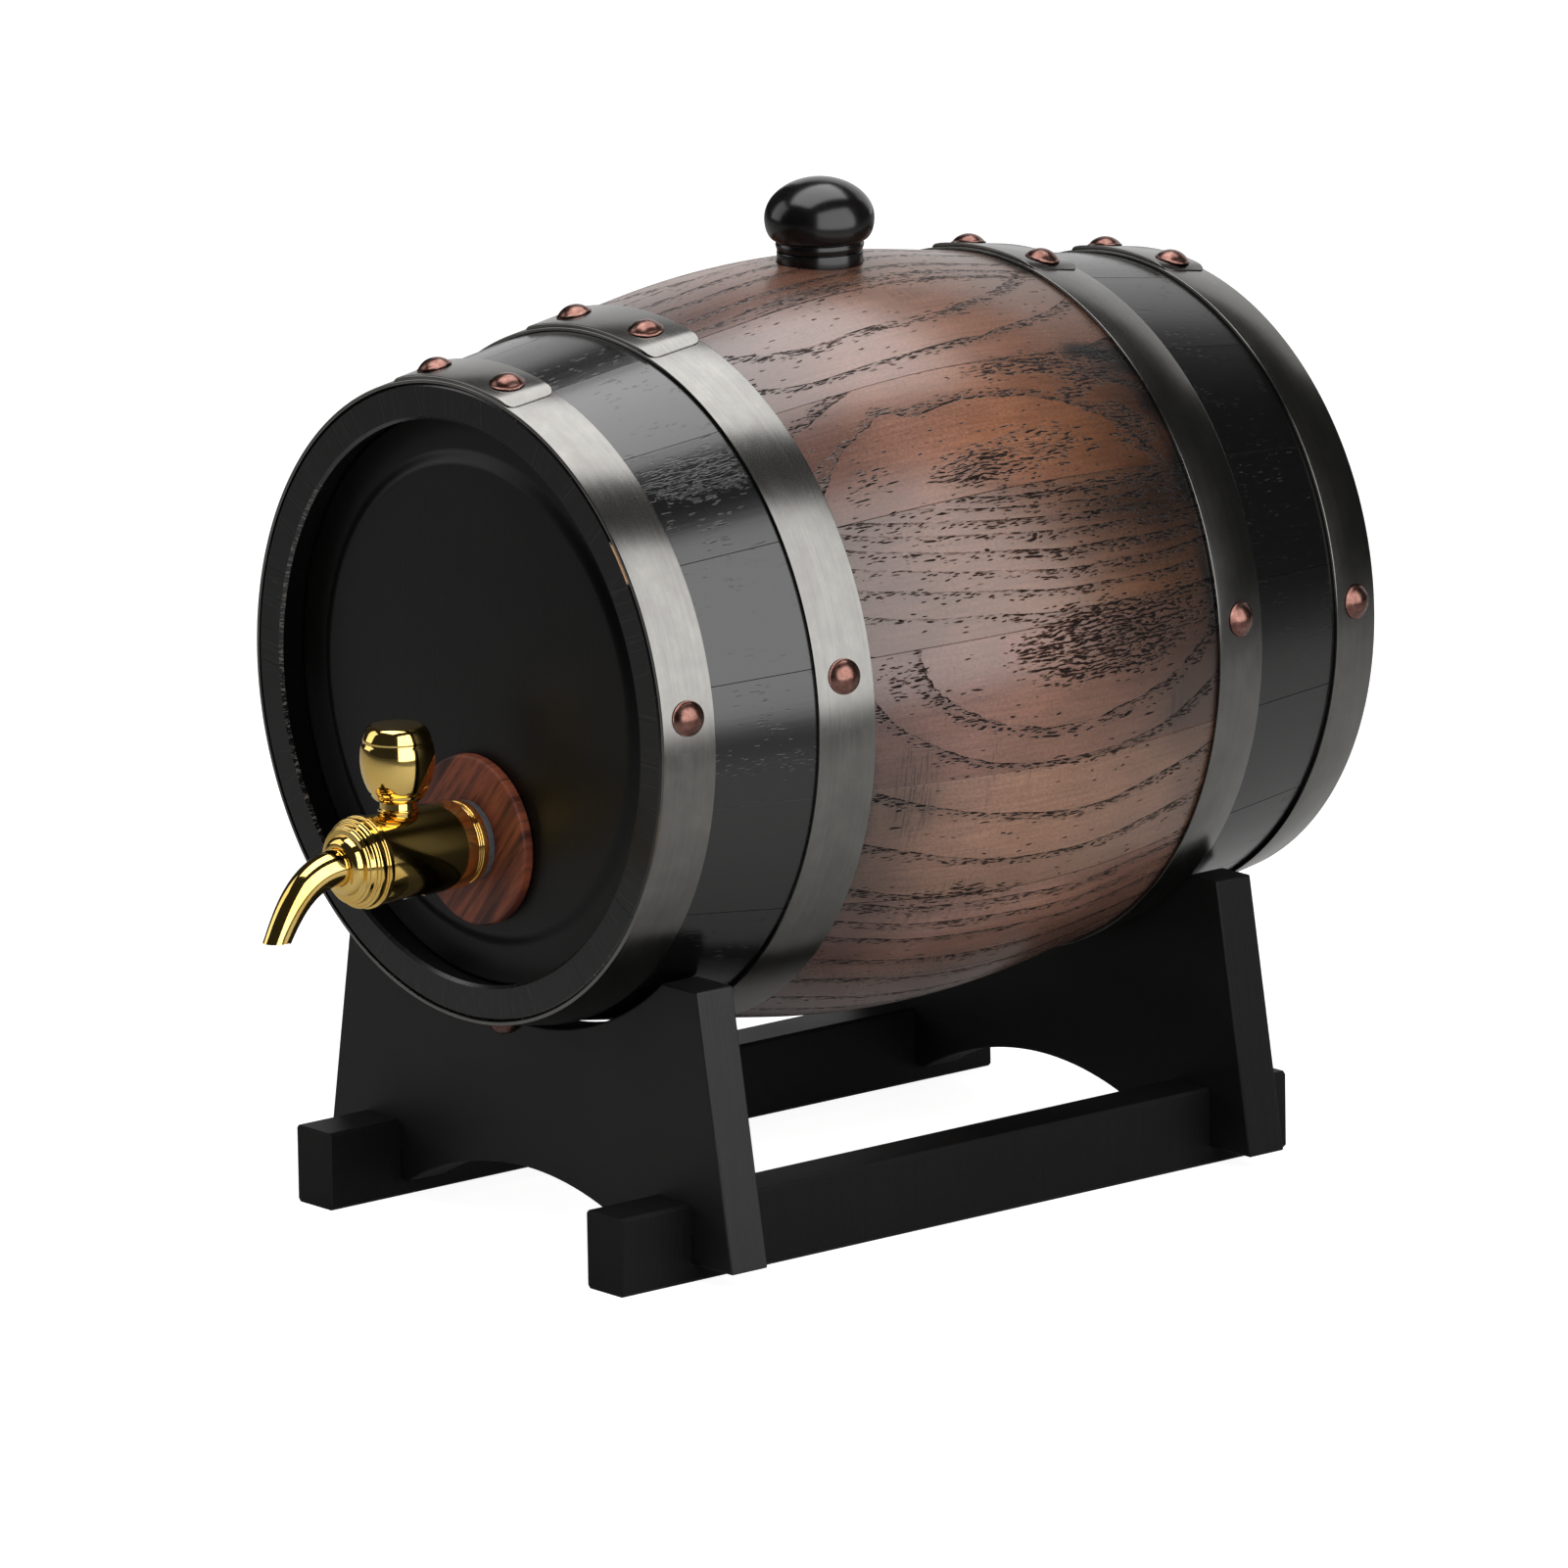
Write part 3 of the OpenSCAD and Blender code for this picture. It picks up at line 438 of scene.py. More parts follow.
def toned(tint, u, degrees):
    # darker and lighter clouds on the stained wood, with painted shade in some dark spots low on it; it deepens
    # behind the middle of the right side, darkens towards the front hoop and, in front of the middle, takes a
    # grey-purple painted sheen that is weaker on its lower half
    turn = signedTurn(degrees)
    heavy = 0.3 + 0.7 * easedStep(turn, -20, -5) - 0.5 * easedStep(turn, 49, 60)
    # the tone spots carry the wood's tone and, low on the cask, some painted shade
    share = (1 + spotsAt(toneAndShadeSpots, u, degrees)) * (1 - 0.8 * heavy * easedStep(-u, -12, 54))
    along, around, strength = tones["clouds"]
    share *= 1 + strength * noise.noise(Vector((u / along, degrees / around, 3.0)))
    front, warm = easedStep(u, 24, 56), spotsAt(warmSpots, u, degrees)
    # painted sheen, full in front of the middle and weaker on the cask's lower half
    pale = easedStep(u, 2, 32) * (0.35 + 0.65 * easedStep(turn, -25, 5))
    changes = zip(tint, tones["pale"], tones["front"], tones["warm"])
    return tuple(c * max(share, tones["least"]) * (1 + lift * pale) * (1 - fade * front) * (1 + glow * warm)
                 for c, lift, fade, glow in changes) + (1.0,)


def sootAt(u, degrees):
    # smoky black that thickens in the last millimetres before the hoops
    return max((-u - 50) / 12, (u - 52) / 20, 0.0) + spotsAt(sootSpots, u, degrees)


def staveSection(degrees, inset):
    # closed outline of a stave at one angle: outside front to rear, then back along the inside
    half, bevel = cask["half"], staves["rimBevel"]
    outside = [half - bevel - 2 * (half - bevel) * i / staves["rows"] for i in range(staves["rows"] + 1)]
    outline = [(u, woodRadius(u) - inset) for u in outside]
    outline.append((-half, woodRadius(half) - bevel - inset))
    inner = []
    for side in (-1, 1):
        lip = woodRadius(half) - cask["thick"]
        croze = [(half, lip + bevel), (half - bevel, lip)]
        for at in (staves["crozeAt"] + staves["tongue"] / 2, staves["crozeAt"] - staves["tongue"] / 2):
            wall = (at, woodRadius(at) - cask["thick"])
            floor = (at, woodRadius(staves["crozeAt"]) - cask["thick"] + staves["crozeDepth"])
            croze += [wall, floor] if at > staves["crozeAt"] else [floor, wall]
        part = [(side * u, r) for u, r in croze]
        inner += part if side < 0 else part[::-1]
        if side < 0:
            inner += [(u, woodRadius(u) - cask["thick"]) for u in range(-90, 91, 15)]
    outline += inner
    outline.append((half, woodRadius(half) - bevel - inset))
    return [onCask(u, r, degrees) for u, r in outline]


def seamAt(number, start, width, lip, face):
    # how dark the bevelled strip at a joint is
    turn = (caskPolar(face.center / mm)[2] - start + 90) % 360 - 90
    if turn < lip:
        return staves["seams"][number - 1]
    return staves["seams"][number % len(staves["seams"])] if turn > width - lip else 0.0


rims = {
    "band": 1.0,          # how far from each end the paint wears off, in mm
    "slope": (0.3, 0.9),  # which faces there are the two small bevels
    "chip": (31.5, 39.5),  # where the front rim is chipped to bare wood, in degrees
    "outer": 0.32,        # how worn the outer bevel is
    "inner": 0.3,
    "outerBelow": 0.12,   # what is added along the underside
    "innerBelow": 0.1,
    "innerLeft": 0.2,     # and on the left
}


def wornAt(point, face):
    # how far the paint is rubbed off the two small bevels at each end: most where the rim got knocks
    u, radius, degrees = caskPolar(point)
    steep, flat = rims["slope"]
    if abs(u) < cask["half"] - rims["band"] or not steep < abs(face.normal.y) < flat:
        return 0.0
    turn = signedTurn(degrees)
    below, left = easedStep(abs(turn + 75), 60, 20), easedStep(abs(turn), 110, 150)
    if radius <= woodRadius(cask["half"]) - cask["thick"] / 2:
        return rims["inner"] + rims["innerLeft"] * left + rims["innerBelow"] * below
    if u > 0 and rims["chip"][0] < turn < rims["chip"][1]:
        return 1.0
    return rims["outer"] + rims["outerBelow"] * below


def buildStave(number, material):
    start = staves["first"] + sum(staves["angles"][:number - 1])
    width = staves["angles"][number - 1]
    lip = math.degrees(staves["groove"] / cask["belly"])
    count = staves["columns"]
    sections = [staveSection(start, staves["groove"])]
    sections += [staveSection(start + lip + (width - 2 * lip) * i / count, 0) for i in range(count + 1)]
    sections.append(staveSection(start + width, staves["groove"]))
    piece = addPiece(f"ashStave{number}", *swept(sections, False), material, "cask", "stave_wood",
                     [f"stave_{number}"])
    if number == 1:
        place = axisPlace((0, cask["bungAt"], cask["axis"] + cask["belly"]), (0, 0, 1))
        drill(piece, staves["bungSeat"] / 2, -staves["seatDepth"], 3, place)
        drill(piece, staves["bungHole"] / 2, -20, 2, place)
        dressPiece(piece, material, 35)
    board = next(b for b in boards if number in b["staves"])
    tint = toLinear(board["tint"])
    middle = start + width / 2
    shift = 37.0 * number  # no two staves share their pores
    heart = Vector((30 * math.sin(number * 2.4), 120 + 55 * math.cos(number * 1.7)))

    def rule(point, face):
        u, radius, degrees = caskPolar(point)
        row = {"tint": toned(tint, u, degrees), "soot": sootAt(u, degrees), "patch": 0.0,
               "seam": seamAt(number, start, width, lip, face), "sawn": spotsAt(sawnSpots, u, degrees, False),
               "worn": wornAt(point, face), "ends": 0.0}
        if abs(face.normal.y) > 0.8:
            # end grain: arcs about a heart that lies beside the stave's section
            x, gap = math.radians(signedTurn(degrees, middle)) * radius, staves["endRings"]
            reach = (Vector((x, radius)) - heart).length
            return row | {"grain": (x + shift, 200.0, radius), "ring": reach / gap, "gap": gap, "ends": 1.0}
        across, ring, gap = longGrain(board, u, degrees)
        row["patch"] = spotsAt(poreSpots, u, degrees, False)
        return row | {"grain": (across + shift, u, cask["belly"] - radius), "ring": ring, "gap": gap}

    layGrain(piece, rule)


def stainedAsh():
    # Ash, planed and brushed, stained brown and lacquered satin; its ends are painted black.
    # The eye sees warm brown with nearly black open pores in dashes, packed into ropes along the
    # growth lines, a whitish veil where a lamp is reflected, and a few pores in relief under the black.
    look = {
        # clouds: mm across the grain and along it, detail, roughness, and the step that makes a mask of some
        "clouds": {
            "drift": (9, 30, 2.0, 0.5, None),
            "jag": (1.2, 4, 2.0, 0.5, None),
            "sway": (5, 12, 2.0, 0.5, None),
            "waver": (2.5, 9, 3.0, 0.5, None),
            "breaks": (6, 17, 2.0, 0.5, (0.34, 0.54, 0.45, 1.0)),
            "crumbs": (0.9, 3.2, 2.0, 0.5, (0.44, 0.54, 0.0, 1.0)),
            "stops": (1.1, 4.6, 2.0, 0.5, (0.43, 0.5, 0.0, 1.0)),
            "streaks": (0.9, 17, 3.0, 0.5, None),
            "patches": (14, 24, 4.0, 0.6, None),
            "tooth": (0.7, 1.1, 3.0, 0.7, None),
            "sawMarks": (9, 0.6, 2.0, 0.5, (0.5, 0.6, 0.0, 1.0)),
            "seamFill": (3, 12, 2.0, 0.5, (0.3, 0.6, 0.5, 1.0)),
            "smoke": (4, 6, 4.0, 0.65, None),
            "rays": (0.7, 40, 3.0, 0.7, (0.55, 0.66, 0.0, 0.6)),
            "chips": (0.8, 1.6, 4.0, 0.7, None),
        },
        # pores: mm wide and long, share kept everywhere and near a growth line, size in their cell
        "dashes": [(0.8, 5.2, 0.006, 0.85, 0.46), (0.5, 2.3, 0.03, 1.0, 0.52)],
        # distance from a growth line, in mm, over which each of its marks fades
        "rope": (1.2, 3.3),
        "halo": (-0.5, 4.2),
        "line": (0.3, 0.62),
        "drift": 0.1,               # how far growth lines wander, in rings
        "jag": 1.3,                 # how ragged their edge is, in mm
        "sway": 3.0,                # how far the pores waver, in mm
        "rows": (1.2, 1.6),         # spacing of long pores where the saw cut through a ring, and their waver
        "rowWidth": (0.14, 0.25),
        "poreDark": 0.95,
        # share of the wood's colour: what each pattern adds, and what is there without it
        "shades": {"streaks": (0.66, 0.49), "patches": (0.5, 0.75), "tooth": (1.2, 0.4), "halo": (-0.34, 1.0),
                   "sawMarks": (-0.5, 1.0), "seam": (-0.95, 1.0)},
        "pits": (0.08, 0.025),      # depth of a pore in mm, in bare and in painted wood
        "ridges": 0.008,
        "rough": 0.26,
        "gloss": 0.64,
    }
    made, tree, _ = newMaterial("ashStainedBrownBlackEnds")
    grain = addNode(tree, "Attribute", take="Vector", attribute_name="grain")
    tint = addNode(tree, "Attribute", take="Color", attribute_name="tint")
    ring, gap, patch, soot, seam, sawn, worn, ends = [
        addNode(tree, "Attribute", take="Fac", attribute_name=name)
        for name in ("ring", "gap", "patch", "soot", "seam", "sawn", "worn", "ends")]
    clouds = {}
    for name, (across, along, detail, rough, step) in look["clouds"].items():
        place = addNode(tree, "Mapping", {"Vector": grain, "Scale": (1 / across, 1 / along, 0)})
        clouds[name] = addNode(tree, "TexNoise", {"Vector": place, "Scale": 1.0, "Detail": detail,
                                                  "Roughness": rough})
        if step:
            clouds[name] = addNode(tree, "MapRange SMOOTHSTEP", [clouds[name], *step])

    # black paint beyond the inner hoops
    away = addNode(tree, "Math ABSOLUTE", [addNode(tree, "SeparateXYZ", [grain], "Y")])
    edge = staves["paintFrom"]
    full = addNode(tree, "MapRange SMOOTHSTEP", [away, edge, edge + 1, 0.0, 1.0])
    bare = addNode(tree, "Math SUBTRACT", [1.0, full])

    # distance outward from the nearest growth line, in mm; the lines wander and their edge is jagged;
    # calm spots thin them
    moved = addNode(tree, "Math MULTIPLY_ADD", [clouds["drift"], look["drift"], ring])
    moved = addNode(tree, "Math FRACT", [addNode(tree, "Math ADD", [moved, -look["drift"] / 2])])
    jag = addNode(tree, "Math MULTIPLY_ADD", [clouds["jag"], look["jag"], -look["jag"] / 2])
    outward = addNode(tree, "Math ADD", [addNode(tree, "Math MULTIPLY", [moved, gap]), jag])
    rope, halo, line = [addNode(tree, "MapRange SMOOTHSTEP", [outward, *look[name], 1.0, 0.0])
                        for name in ("rope", "halo", "line")]
    calm = addNode(tree, "Math ADD", [addNode(tree, "Math MINIMUM", [patch, 0.0]), 1.0])
    breaks = addNode(tree, "Math MULTIPLY", [clouds["breaks"], calm])
    rope, halo = [addNode(tree, "Math MULTIPLY", [mark, breaks]) for mark in (rope, halo)]
    weaker = addNode(tree, "MapRange SMOOTHSTEP", [breaks, 0.3, 0.8, 0.3, 1.0])
    for part in (clouds["crumbs"], weaker):
        line = addNode(tree, "Math MULTIPLY", [line, part])
    fewer = addNode(tree, "Math MULTIPLY_ADD", [full, -0.75, 1.0])  # paint fills most pores of a rope
    dense = addNode(tree, "Math MAXIMUM", [addNode(tree, "Math MULTIPLY", [rope, fewer]), patch])

    # open pores: stretched cells that waver with the grain, more of them kept near the growth lines
    sway = addNode(tree, "Math MULTIPLY_ADD", [clouds["sway"], look["sway"], -look["sway"] / 2])
    wavy = addNode(tree, "VectorMath ADD", [grain, addNode(tree, "CombineXYZ", [sway])])
    pore = 0.0
    for wide, long, floor, share, size in look["dashes"]:
        cells = addNode(tree, "Mapping", {"Vector": wavy, "Scale": (1 / wide, 1 / long, 0)})
        near = addNode(tree, "TexVoronoi", {"Vector": cells, "Scale": 1.0}, "Distance")
        near = addNode(tree, "MapRange SMOOTHSTEP", [near, size * 0.5, size, 1.0, 0.0])
        pick = addNode(tree, "TexVoronoi", {"Vector": cells, "Scale": 1.0}, "Color")
        limit = addNode(tree, "Math MULTIPLY_ADD", [dense, share, floor])
        kept = addNode(tree, "Math LESS_THAN", [addNode(tree, "SeparateXYZ", [pick], "X"), limit])
        pore = addNode(tree, "Math MAXIMUM", [pore, addNode(tree, "Math MULTIPLY", [near, kept])])
    spacing, waver = look["rows"]
    waver = addNode(tree, "Math MULTIPLY", [clouds["waver"], waver])
    row = addNode(tree, "Math MULTIPLY_ADD", [addNode(tree, "SeparateXYZ", [wavy], "X"), 1 / spacing, waver])
    row = addNode(tree, "Math ADD", [addNode(tree, "Math FRACT", [row]), -0.5])
    row = addNode(tree, "Math ABSOLUTE", [row])
    row = addNode(tree, "MapRange SMOOTHSTEP", [row, *look["rowWidth"], 1.0, 0.0])
    for part in (clouds["stops"], addNode(tree, "MapRange SMOOTHSTEP", [patch, 0.35, 0.7, 0.0, 1.0])):
        row = addNode(tree, "Math MULTIPLY", [row, part])
    for mark in (row, addNode(tree, "Math MULTIPLY", [line, bare])):
        pore = addNode(tree, "Math MAXIMUM", [pore, mark])

    # colour of the wood: streaks along the grain, slow patches, a coarse tooth, and saw marks across
    shaders = clouds | {
        "halo": halo,
        "sawMarks": addNode(tree, "Math MULTIPLY", [sawn, clouds["sawMarks"]]),
        "seam": addNode(tree, "Math MULTIPLY", [seam, clouds["seamFill"]]),
    }
    shade = 1.0
    for name, (added, base) in look["shades"].items():
        part = addNode(tree, "Math MULTIPLY_ADD", [shaders[name], added, base])
        shade = addNode(tree, "Math MULTIPLY", [shade, part])

    # smoky black gathers in blotches towards the hoops, and paint is rubbed off the rims
    smoke = addNode(tree, "Math MULTIPLY_ADD", [clouds["smoke"], 0.8, -0.4])
    smoke = addNode(tree, "Math ADD", [soot, smoke])
    smoke = addNode(tree, "MapRange SMOOTHSTEP", [smoke, 0.0, 0.95, 0.0, 0.95])
    rubbed = addNode(tree, "Math ADD", [worn, clouds["chips"]])
    chipped = addNode(tree, "MapRange SMOOTHSTEP", [worn, 0.6, 0.9, 0.0, 1.0])
    layers = [
        (addNode(tree, "Math MULTIPLY", [pore, look["poreDark"]]), "#0b0808"),
        (addNode(tree, "Math MAXIMUM", [smoke, full]), "#060606"),
        (addNode(tree, "Math MULTIPLY", [ends, clouds["rays"]]), "#3a3835"),
        (addNode(tree, "MapRange SMOOTHSTEP", [rubbed, 1.0, 1.12, 0.0, 1.0]),
         addNode(tree, "Mix RGBA", {0: chipped, 6: "#6d6964", 7: "#caa27a"}, 2)),
    ]
    colour = addNode(tree, "VectorMath SCALE", {0: tint, "Scale": shade})
    for share, over in layers:
        colour = addNode(tree, "Mix RGBA", {0: share, 6: colour, 7: over}, 2)

    # relief, in mm: pores are pits and brushing leaves fine ridges
    deep, shallow = look["pits"]
    pits = addNode(tree, "Math MULTIPLY_ADD", [full, deep - shallow, -deep])
    pits = addNode(tree, "Math MULTIPLY", [pore, pits])
    relief = addNode(tree, "Math MULTIPLY_ADD", [clouds["streaks"], look["ridges"], pits])
    bump = addNode(tree, "Bump", {"Height": relief, "Distance": mm, "Strength": 1.0})

    # no lacquer glints inside a pore, and few on the end grain, which drinks the paint
    dull = addNode(tree, "Math MAXIMUM", [addNode(tree, "Math MULTIPLY", [pore, bare]), seam])
    rough = addNode(tree, "Math MULTIPLY_ADD", [full, -0.05, look["rough"] - 0.02])
    for value, added in ((dull, 0.3), (clouds["streaks"], 0.04)):
        rough = addNode(tree, "Math MULTIPLY_ADD", [value, added, rough])
    dull = addNode(tree, "Math MAXIMUM", [dull, addNode(tree, "Math MULTIPLY", [ends, 0.6])])
    shine = addNode(tree, "Mix RGBA", {0: dull, 6: "#ffffff", 7: "#000000"}, 2)
    return finishMaterial(made, colour, rough, bump, gloss=look["gloss"], shine=shine)


hoops = {
    "thick": 1.0,
    "fit": 0.02,
    "lap": [(73.5, 107.5), (73.5, 107.5), (77.2, 103.8), (77.2, 103.8)],  # ends of the second layer
    "lapThin": 0.2,      # share of the thickness that is left at its ends
    "lapEase": 4.0,      # how far from each end it reaches its full thickness
    "lapRows": 20,
    "corner": 3.0,
    "cornerRows": [0.0, 0.1, 0.3, 0.6, 1.0, 1.5, 2.1, 3.0],
    "edge": 0.28,
    "steps": 240,
}
hoopNames = ["front_head_hoop", "front_quarter_hoop", "rear_quarter_hoop", "rear_head_hoop"]


def strapSection(low, high, rearU, frontU, degrees):
    corners = ((rearU, low), (frontU, low), (frontU, high), (rearU, high))
    outline = [(u, woodRadius(u) + out) for u, out in corners]
    return [onCask(u, r, degrees) for u, r in eased(outline, hoops["edge"], closed=True)]


def buildHoop(node, material):
    low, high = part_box(node)
    fromU, toU = cask["middle"] - high.y / mm, cask["middle"] - low.y / mm
    inner, outer = hoops["fit"], hoops["fit"] + hoops["thick"]
    angles = [360 * i / hoops["steps"] for i in range(hoops["steps"])]
    band = swept([strapSection(inner, outer, fromU, toU, degrees) for degrees in angles], True)
    start, end = hoops["lap"][hoopNames.index(node)]
    reach = math.radians(end - start) * (woodRadius(toU) + outer)
    corner, thin, near = hoops["corner"], hoops["lapThin"], hoops["cornerRows"]
    between = [corner + (reach - 2 * corner) * i / hoops["lapRows"] for i in range(1, hoops["lapRows"])]
    sections = []
    for at in near + between + [reach - at for at in reversed(near)]:
        # the ends have round corners and are hammered thin
        fromEnd = min(at, reach - at)
        cut = corner - math.sqrt(max(0.0, corner ** 2 - max(0.0, corner - fromEnd) ** 2))
        tall = hoops["thick"] * (thin + (1 - thin) * easedStep(fromEnd, 0.0, hoops["lapEase"]))
        degrees = start + (end - start) * at / reach
        sections.append(strapSection(outer, outer + tall, fromU + cut, toU - cut, degrees))
    lap = swept(sections, False)
    piece = addPiece(pieceName("steel", node), *joined(band, lap), material, "cask", "hoop_steel", [node], 30)

    def rule(point, face):
        u, radius, degrees = caskPolar(point)
        centre = caskPolar(face.center / mm)[2]
        degrees += 360 * round((centre - degrees) / 360)
        return {"grain": (math.radians(degrees) * 90, u, radius - woodRadius(u))}  # 90 is about its radius

    layGrain(piece, rule)


def brushedSteel():
    # Mild steel strap, brushed along its length and waxed dark.
    # The eye sees soft grey light drawn out across the strap, fine long scratches and faint stains.
    look = {"scratch": (60.0, 0.8), "stain": (9, 6), "rough": 0.2}  # sizes in mm, along and across
    made, tree, _ = newMaterial("steelStrapBrushed")
    grain = addNode(tree, "Attribute", take="Vector", attribute_name="grain")
    marks = []
    for (along, across), detail, harshness in ((look["scratch"], 3.0, 0.5), (look["stain"], 5.0, 0.65)):
        place = addNode(tree, "Mapping", {"Vector": grain, "Scale": (1 / along, 1 / across, 0)})
        marks.append(addNode(tree, "TexNoise", {"Vector": place, "Scale": 1.0, "Detail": detail,
                                                "Roughness": harshness}))
    scratch, stain = marks
    greys = [(0.3, "#6a6866"), (0.55, "#706f6c"), (0.75, "#787673")]
    colour = addNode(tree, "ValToRGB", [stain], "Color", greys)
    tone = addNode(tree, "Math MULTIPLY_ADD", [scratch, 0.3, 0.85])
    colour = addNode(tree, "VectorMath SCALE", {0: colour, "Scale": tone})
    rough = addNode(tree, "Math MULTIPLY_ADD", [stain, 0.03, look["rough"] - 0.015])
    rough = addNode(tree, "Math MULTIPLY_ADD", [scratch, 0.05, rough])
    bump = addNode(tree, "Bump", {"Height": scratch, "Distance": 0.002 * mm, "Strength": 1.0})
    return finishMaterial(made, colour, rough, bump, metal=1.0)


rivets = {
    "wide": 9.0,
    "high": 2.5,
    "lapMiddle": 90.5,
    "lapSpread": [20, 18.2, 18.5, 18.2],  # front hoop to rear hoop
    "right": [6, 8.5, 5, 3],
    "others": [185.0, 275.0],
    "shank": 3.0,
    "reach": 4.0,         # of the shank into the wood
    "foot": [(-0.15, 0.0), (0.0, 0.12), (-0.04, 0.34)],  # outline of the head's lower edge, out and up
    "footHigh": 0.4,
    "domeRows": 10,
}


def buildRivets(node, material):
    hoop = node.replace("rivets", "hoop")
    low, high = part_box(hoop)
    number = hoopNames.index(hoop)
    u = cask["middle"] - (low.y + high.y) / 2 / mm
    tilt = math.atan(cask["taper"]) * (1 if u > 0 else -1)
    half, tall, rows = rivets["wide"] / 2, rivets["high"], rivets["domeRows"]
    crown = (half ** 2 + tall ** 2) / (2 * tall)
    spread = math.asin(half / crown)
    angles = [spread * (1 - i / rows) for i in range(1, rows)]
    dome = [(crown * math.sin(a), max(crown * math.cos(a) - crown + tall, rivets["footHigh"])) for a in angles]
    lap = [rivets["lapMiddle"] + way * rivets["lapSpread"][number] / 2 for way in (-1, 1)]
    single = [rivets["right"][number]] + rivets["others"]
    parts = []
    for degrees, straps in [(a, 2) for a in lap] + [(a, 1) for a in single]:
        a = math.radians(degrees)
        out = Vector((math.cos(a) * math.cos(tilt), -math.sin(tilt), math.sin(a) * math.cos(tilt)))
        foot = onCask(u, woodRadius(u) + hoops["fit"], degrees) / mm
        foot += out * straps * math.cos(tilt) * hoops["thick"]
        end, shank = -straps * hoops["thick"] - rivets["reach"], rivets["shank"] / 2
        profile = [(0, end), (shank, end), (shank, 0.0)] + [(half + r, h) for r, h in rivets["foot"]]
        parts.append(turned(profile + dome + [(0, tall)], axisPlace(foot, out), 40))
    addPiece(pieceName("copper", node), *joined(*parts), material, "cask", "rivet_copper", [node], 40)


heads = {
    "edgeFace": 108.35,
    "panelRise": 1.6,
    "panelRadius": 60.97,
    "roll": 2.2,         # half the width of the panel's soft shoulder
    "thick": 8.0,
    "tongue": 4.0,
}


def buildHead(node, side, material):
    low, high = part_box(node)
    rim = (high.x - low.x) / 2 / mm
    face, back = heads["edgeFace"], heads["edgeFace"] - heads["thick"]
    inner = woodRadius(face) - cask["thick"] - 0.02
    middle, tongue = (face + back) / 2, heads["tongue"] / 2
    panel, roll = face + heads["panelRise"], heads["roll"]
    shoulder = heads["panelRadius"] + roll
    profile = eased([(0, back), (inner, back), (inner, middle - tongue), (rim, middle - tongue),
                     (rim, middle + tongue), (inner, middle + tongue), (inner, face), (shoulder, face)], 0.7)
    for i in range(1, 9):
        # the raised panel rolls over in one soft curve
        t = i / 8
        profile.append((shoulder - 2 * roll * t, face + heads["panelRise"] * easedStep(t, 0, 1)))
    profile.append((0, panel))
    place = axisPlace((0, cask["middle"], cask["axis"]), (0, -side, 0))
    name = "ashHeadFront" if side > 0 else "ashHeadRear"
    piece = addPiece(name, *turned(profile, place, 160), material, "cask", "head_wood", [node], 35)
    if side > 0:
        drill(piece, tap["shank"] / 2 + 0.05, back - 2, panel + 2, tapPlace)
        dressPiece(piece, material, 35)


def blackAsh():
    # Ash head, turned on a lathe and painted satin black.
    # The eye sees soft grey light on black and a faint upright grain.
    look = {"grain": (1.11, 10, 25), "cloud": 16.67, "relief": 0.03, "rough": 0.34}  # sizes in mm
    made, tree, place = newMaterial("ashPaintedBlackSatin")
    grain = addNode(tree, "Mapping", {"Vector": place, "Scale": perMetre(*look["grain"])})
    grain = addNode(tree, "TexNoise", {"Vector": grain, "Scale": 1.0, "Detail": 3.0})
    cloud = addNode(tree, "TexNoise", {"Vector": place, "Scale": perMetre(look["cloud"]), "Detail": 3.0})
    colour = addNode(tree, "ValToRGB", [cloud], "Color", [(0.3, "#060606"), (0.7, "#090909")])
    rough = addNode(tree, "Math MULTIPLY_ADD", [cloud, 0.12, look["rough"]])
    bump = addNode(tree, "Bump", {"Height": grain, "Distance": look["relief"] * mm, "Strength": 1.0})
    return finishMaterial(made, colour, rough, bump, gloss=0.22)


rosetteLow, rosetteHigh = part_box("tap_rosette")
tap = {
    "axis": (rosetteLow.z + rosetteHigh.z) / 2 / mm,
    "shank": 14.0,
    "rosette": 43.2,
    "gasket": 20.6,
    "flange": 21.2,
    "body": 22.5,
    "collar": 23.6,
    "flow": 5.2,
    "spoutRoot": 9.4,
    "spoutTip": 6.7,
    "spoutWall": 0.9,
    "spoutDrop": 15.8,
    "spoutSlant": 27.0,
    "keySeat": 9.4,
    "washerRecess": 6.2,  # its radius
    "thread": 2.0,        # pitch
    "threadDeep": 0.7,
    "threadEnd": 18.0,    # where the thread stops behind the body
    "bendRows": 40,
}
# tapPlace has its z on the tap's axis and counts heights as u
tapPlace = axisPlace((0, cask["middle"], tap["axis"]), (0, -1, 0))


def uRange(node):
    low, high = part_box(node)
    return cask["middle"] - high.y / mm, cask["middle"] - low.y / mm


def ringShape(outer, inner, fromU, toU, ease, place, steps=96):
    outline = [(inner, fromU), (outer, fromU), (outer, toU), (inner, toU)]
    return turned(eased(outline, ease, closed=True), place, steps, True)


def buildRosette(material):
    fromU, toU = uRange("tap_rosette")
    shape = ringShape(tap["rosette"] / 2, tap["shank"] / 2 + 0.05, fromU, toU, 0.9, tapPlace, 128)
    addPiece("rosetteOfAsh", *shape, material, "cask", "rosette_wood", ["tap_rosette"])


def addTapPart(name, outline, ease, gilt, node, steps=160):
    shape = turned(eased(outline, ease, closed=True), tapPlace, steps, True)
    return addPiece(name, *shape, gilt, "cask", "tap_gilt", [node])


